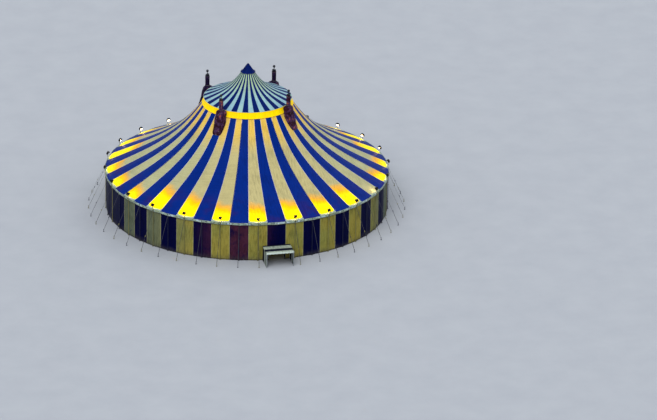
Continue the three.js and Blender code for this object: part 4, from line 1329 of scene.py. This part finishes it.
class BIGTOP_OT_floodlights(bpy.types.Operator):
    """Dress the floodlight heads: housings with fins, yokes, visors and lit glass"""
    bl_idname = "bigtop.floodlights"
    bl_label = "Floodlights"

    def execute(self, context):
        shell = block("housing", (0.228, 0.146, 0.208), (0, 0.0125, 0), bevel=0.006, segments=2)
        parts = [shape_faces(shell, facing(0, 1, 0, 0.99), inset(0.010), push(0, -0.018, 0))]
        for n in range(8):
            parts.append(block("fin", (0.005, 0.022, 0.165), (-0.091 + n * 0.026, -0.069, 0), bevel=0.001))
        visor_turn = (math.radians(8), 0, 0)
        parts.append(block("visor", (0.232, 0.06, 0.005), (0, 0.105, 0.103), visor_turn, 0.001))
        for x in (-0.118, 0.118):
            parts += [block("yoke", (0.006, 0.032, 0.165), (x, 0.0, -0.058), bevel=0.002),
                      disc("yoke", (x * 1.035, 0, 0.0), SIDEWAYS, 0.018, 0.012, 10, 0.002)]
        parts.append(block("yoke", (0.242, 0.032, 0.006), (0, 0, -0.139), bevel=0.002))
        for x, z in corners(0.1, 0.09):
            parts.append(disc("screw", (x, 0.086, z), (0, 1, 0), 0.006, 0.006, 8))
        head = soften(united("housing", parts))
        pane = block("pane", (0.206, 0.006, 0.186), (0, 0.071, 0), bevel=0.002)
        shape_faces(pane, facing(0, 1, 0), inset(0.02), push(0, 0.003, 0))
        tilt = Matrix.Rotation(math.radians(LAMP_TILT), 4, "X")
        for piece in (head, pane):
            piece.data.transform(Matrix.Translation((0, -LAMP_CIRCLE, LAMP_HEIGHT)) @ tilt)
        dress(copies("floodlight_housings", head, LAMP_ANGLES), "dark_paint", "mast_steel")
        panes = soften(copies("floodlight_panes", pane, LAMP_ANGLES))
        dress(panes, glass("floodlight_glass"), "galvanised_steel")

        at, under = -LAMP_CIRCLE, LAMP_HEIGHT - 0.13
        unit = united("bracket", [
            rod("knuckle", (0.0425, at, under - 0.025), (0.0425, at, under + 0.02), 0.02, 10, 0.002),
            block("foot", (0.1, 0.04, 0.008), (0.02, at - 0.02, under), bevel=0.002)])
        dress(soften(copies("floodlight_brackets", unit, LAMP_ANGLES)), "galvanised", "galvanised_steel")
        line = []
        for n in range(15):
            t = n / 14
            height = LAMP_HEIGHT - 0.085 + (LAMP_ARM_HEIGHT + 0.105 - LAMP_HEIGHT) * t
            across = 0.072 - 0.006 * math.sin(math.pi * t)
            line.append(spot(0, LAMP_CIRCLE + 0.012 - 0.045 * t ** 2, height, across))
        dress(copies("floodlight_leads", tube("lead", line, 0.006), LAMP_ANGLES), "dark_paint", "mast_steel")
        return {"FINISHED"}


class BIGTOP_OT_guys(bpy.types.Operator):
    """Strap the eave belt down to its ground stakes with ratchets"""
    bl_idname = "bigtop.guys"
    bl_label = "Guys and stakes"

    def strap(self, head, foot):
        """A strap from head to foot, with the free end of the webbing beside it."""
        t = np.linspace(0, 1, 15)[:, None]
        line = np.array(head) + (np.array(foot) - np.array(head)) * t
        line[:, 2] -= 0.020 * np.sin(np.pi * t[:, 0])
        tail = line[9:14] + [0.0, -0.010, 0.006]
        tail[-1] += [0.01, -0.03, -0.06]
        return united("strap", [webbing("strap", line, 0.015, 0.005), webbing("tail", tail, 0.012, 0.003)])

    def stake(self, head, foot):
        """The ratchet on the strap, and the stake with its ground plate."""
        side = Vector(SIDEWAYS)
        turn = (foot - head).normalized().to_track_quat("Z", "X").to_euler()
        middle = head + (foot - head) * 0.66
        body = block("ratchet", (0.018, 0.042, 0.13), middle, turn, 0.003)
        shape_faces(body, lambda face: face.calc_area() > 0.003, inset(0.006), sink(0.003))
        parts = [body, block("handle", (0.010, 0.034, 0.11), middle + Vector((0, -0.03, 0.022)), turn, 0.003),
                 rod("spool", middle - side * 0.026, middle + side * 0.026, 0.013, 10, 0.002),
                 loop("hook", foot + Vector((0, -0.004, 0)), (0, math.radians(90), 0), 0.022, 0.005, 14)]
        at = -STAKE_CIRCLE
        plate = block("plate", (0.1, 0.1, 0.012), (0, at, 0.006), bevel=0.003)
        shape_faces(plate, facing(*UP), inset(0.026), push(0, 0, 0.004))
        stake = rod("stake", (0, at, 0.004), (0, at, STAKE_TOP), 0.016, 12)
        shape_faces(stake, facing(*UP), inset(-0.008), push(0, 0, 0.014), inset(0.010))
        parts += [plate, stake, loop("collar", (0, at, STRAP_FOOT), (0, 0, 0), 0.019, 0.005, 14)]
        for x, y in corners(0.036, 0.036):
            parts.append(disc("bolt", (x, at + y, 0.014), UP, 0.007, 0.008, 6))
        return soften(united("stake", parts))

    def belt(self, span):
        """The belt under the trim, over a stretch of the eave."""
        low, high = span
        between = np.arange(math.ceil(low / BELT_STEP), high / BELT_STEP) * BELT_STEP
        u, t = np.meshgrid(np.unique([low, *between, high]), np.linspace(0, 1, 4))
        shape = outline(u, EAVE_RADIUS, BELT_HEAD - BELT_DEEP * t, -0.006)
        return cloth("belt", shape, marked(0.0, shape, np.radians(u) * EAVE_RADIUS), 0.008)

    def execute(self, context):
        web = woven("guy_webbing", tuple(colours().webbing), (0.14, 0.14, 0.19), 0.008)
        head = spot(0, EAVE_RADIUS - 0.006, TRIM_FOOT - 0.02)
        foot = spot(0, STAKE_CIRCLE - 0.022, STRAP_FOOT)
        strap, stake = self.strap(head, foot), self.stake(head, foot)
        for label, span in STRETCHES.items():
            whole = [self.belt(span), copies("straps", strap, places(span), True)]
            dress(united(f"guy_straps_{label}", whole), web, "guy_webbing", f"guy_set_{label}")
            dress(copies(f"guy_stakes_{label}", stake, places(span), True), "pole_reflection_and_dust", "galvanised_steel")
        over_door = united("eave_belt_over_doorway", [self.belt((-DOOR_SPAN, DOOR_SPAN))])
        dress(over_door, web, "guy_webbing", "eave_belt_over_door")
        discard(stake, strap)
        return {"FINISHED"}


class BIGTOP_OT_porch(bpy.types.Operator):
    """Cover the entrance porch with its banded roof and dark side curtains"""
    bl_idname = "bigtop.porch"
    bl_label = "Entrance porch"

    def execute(self, context):
        s = sizes()
        cover(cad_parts["porch_frame"], "galvanised")
        low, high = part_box("porch_roof")
        x, t = np.meshgrid(np.linspace(-1, 1, 41), np.linspace(0, 1, 41))
        half = (high.x - low.x) / 2
        reach = half + 0.13
        d = np.abs(x) * reach
        over = np.clip(d - half + 0.012, 0, None)
        flat = np.minimum(d, half - 0.012) + np.minimum(over, 0.012)
        y = low.y + (high.y - low.y) * t
        fall = np.maximum(over - 0.012, 0) * (0.93 + 0.07 * np.cos(2 * np.pi * t * 8))
        sag = 0.012 * np.sin(np.pi * np.mod(t * 2, 1)) ** 2 * (1 - np.abs(x) ** 4)
        outer = np.stack([np.sign(x) * (flat + 0.002), y, high.z - sag - fall], axis=-1)
        marks = np.stack([x * 0, y - low.y, x * reach], axis=-1)
        piece = cloth("porch_roof_cloth", outer, marks, s.cloth)
        dress(piece, coated("porch_roof_cloth", porch_colour, wear=0.2), "porch_cloth", "porch_roof")

        x, t = np.meshgrid(np.linspace(-half, half, 61), np.linspace(0, 1, 7))
        drop = t * VALANCE_DROP
        ripple = 0.004 * np.sin(t * 3) * np.sin(x * 30)
        scallop = 0.93 + 0.07 * np.cos(2 * np.pi * x * 4 / half)
        valance = np.stack([x, low.y - 0.004 - ripple, high.z - 0.006 - drop * scallop], axis=-1)
        apron = cloth("porch_valance", valance, np.stack([x * 0, drop, x], axis=-1), 0.005)
        pale = plain_colour((0.84, 0.89, 0.84), (0.73, 0.79, 0.74), 0.5, 2.0)
        dress(apron, coated("porch_valance_cloth", pale), "trim_cloth")

        dark = coated("porch_curtain", curtain_colour, wear=0.2, creases=0.012)
        for label, sign in (("left", -1), ("right", 1)):
            low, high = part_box(f"porch_curtain_{label}")
            y, z = np.meshgrid(np.linspace(low.y, high.y, 57), np.linspace(high.z, 0.0, 19))
            fall = 1 - z / high.z
            wave = np.sin(y * 21 + 0.8 * np.sin(z * 3)) * 0.006 * (0.35 + 0.65 * fall)
            wave += np.sin(y * 8.3 + sign) * 0.003
            face = (high.x if sign > 0 else low.x) - sign * 0.006
            shape = np.stack([face + sign * wave, y, z], axis=-1)
            marks = np.stack([y * 0, high.z - z, y], axis=-1)
            curtain = cloth(f"porch_curtain_cloth_{label}", shape, marks, s.cloth)
            dress(curtain, dark, "wall_cloth", f"porch_curtain_{label}")

        parts = []
        low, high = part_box("porch_frame")
        for x, inward in ((low.x + 0.03, 1), (high.x - 0.03, -1)):
            for y in (low.y + 0.015, (low.y + high.y) / 2):
                joint = block("joint", (0.04, 0.04, 0.06), (x, y, high.z - 0.05), bevel=0.003)
                parts.append(shape_faces(joint, facing(inward, 0, 0), inset(0.008), push(0.003 * inward, 0, 0)))
                for z in (0.014, 0.5):
                    parts.append(disc("bolt", (x + 0.03 * inward, y, z), UP, 0.008, 0.01, 6))
        dress(soften(united("porch_joints", parts)), "galvanised", "galvanised_steel")
        return {"FINISHED"}


STEPS = (
    BIGTOP_OT_stage, BIGTOP_OT_masts, BIGTOP_OT_ring, BIGTOP_OT_roof, BIGTOP_OT_roof_fittings,
    BIGTOP_OT_collar, BIGTOP_OT_cupola, BIGTOP_OT_hoods, BIGTOP_OT_trim, BIGTOP_OT_walls, BIGTOP_OT_poles,
    BIGTOP_OT_floodlights, BIGTOP_OT_guys, BIGTOP_OT_porch,
)
GROUPS = {"big_top_colours": BigTopColours, "big_top_sizes": BigTopSizes, "big_top_stage": BigTopStage}


class BIGTOP_PT_panel(bpy.types.Panel):
    """Lists the tent's pieces and their settings"""
    bl_idname = "BIGTOP_PT_panel"
    bl_label = "Circus big top"
    bl_space_type = "VIEW_3D"
    bl_region_type = "UI"
    bl_category = "Big top"

    def draw(self, context):
        for step in STEPS:
            self.layout.operator(step.bl_idname)
        for name in GROUPS:
            box = self.layout.box()
            group = getattr(context.scene, name)
            for key in group.__annotations__:
                box.prop(group, key)


def register():
    for item in (*GROUPS.values(), *STEPS, BIGTOP_PT_panel):
        bpy.utils.register_class(item)
    for name, group in GROUPS.items():
        setattr(bpy.types.Scene, name, bpy.props.PointerProperty(type=group))


def unregister():
    for name in GROUPS:
        delattr(bpy.types.Scene, name)
    for item in (BIGTOP_PT_panel, *reversed(STEPS), *GROUPS.values()):
        bpy.utils.unregister_class(item)


def main():
    register()
    for step in STEPS:
        group, name = step.bl_idname.split(".")
        getattr(getattr(bpy.ops, group), name)()


if __name__ == "__main__":
    main()
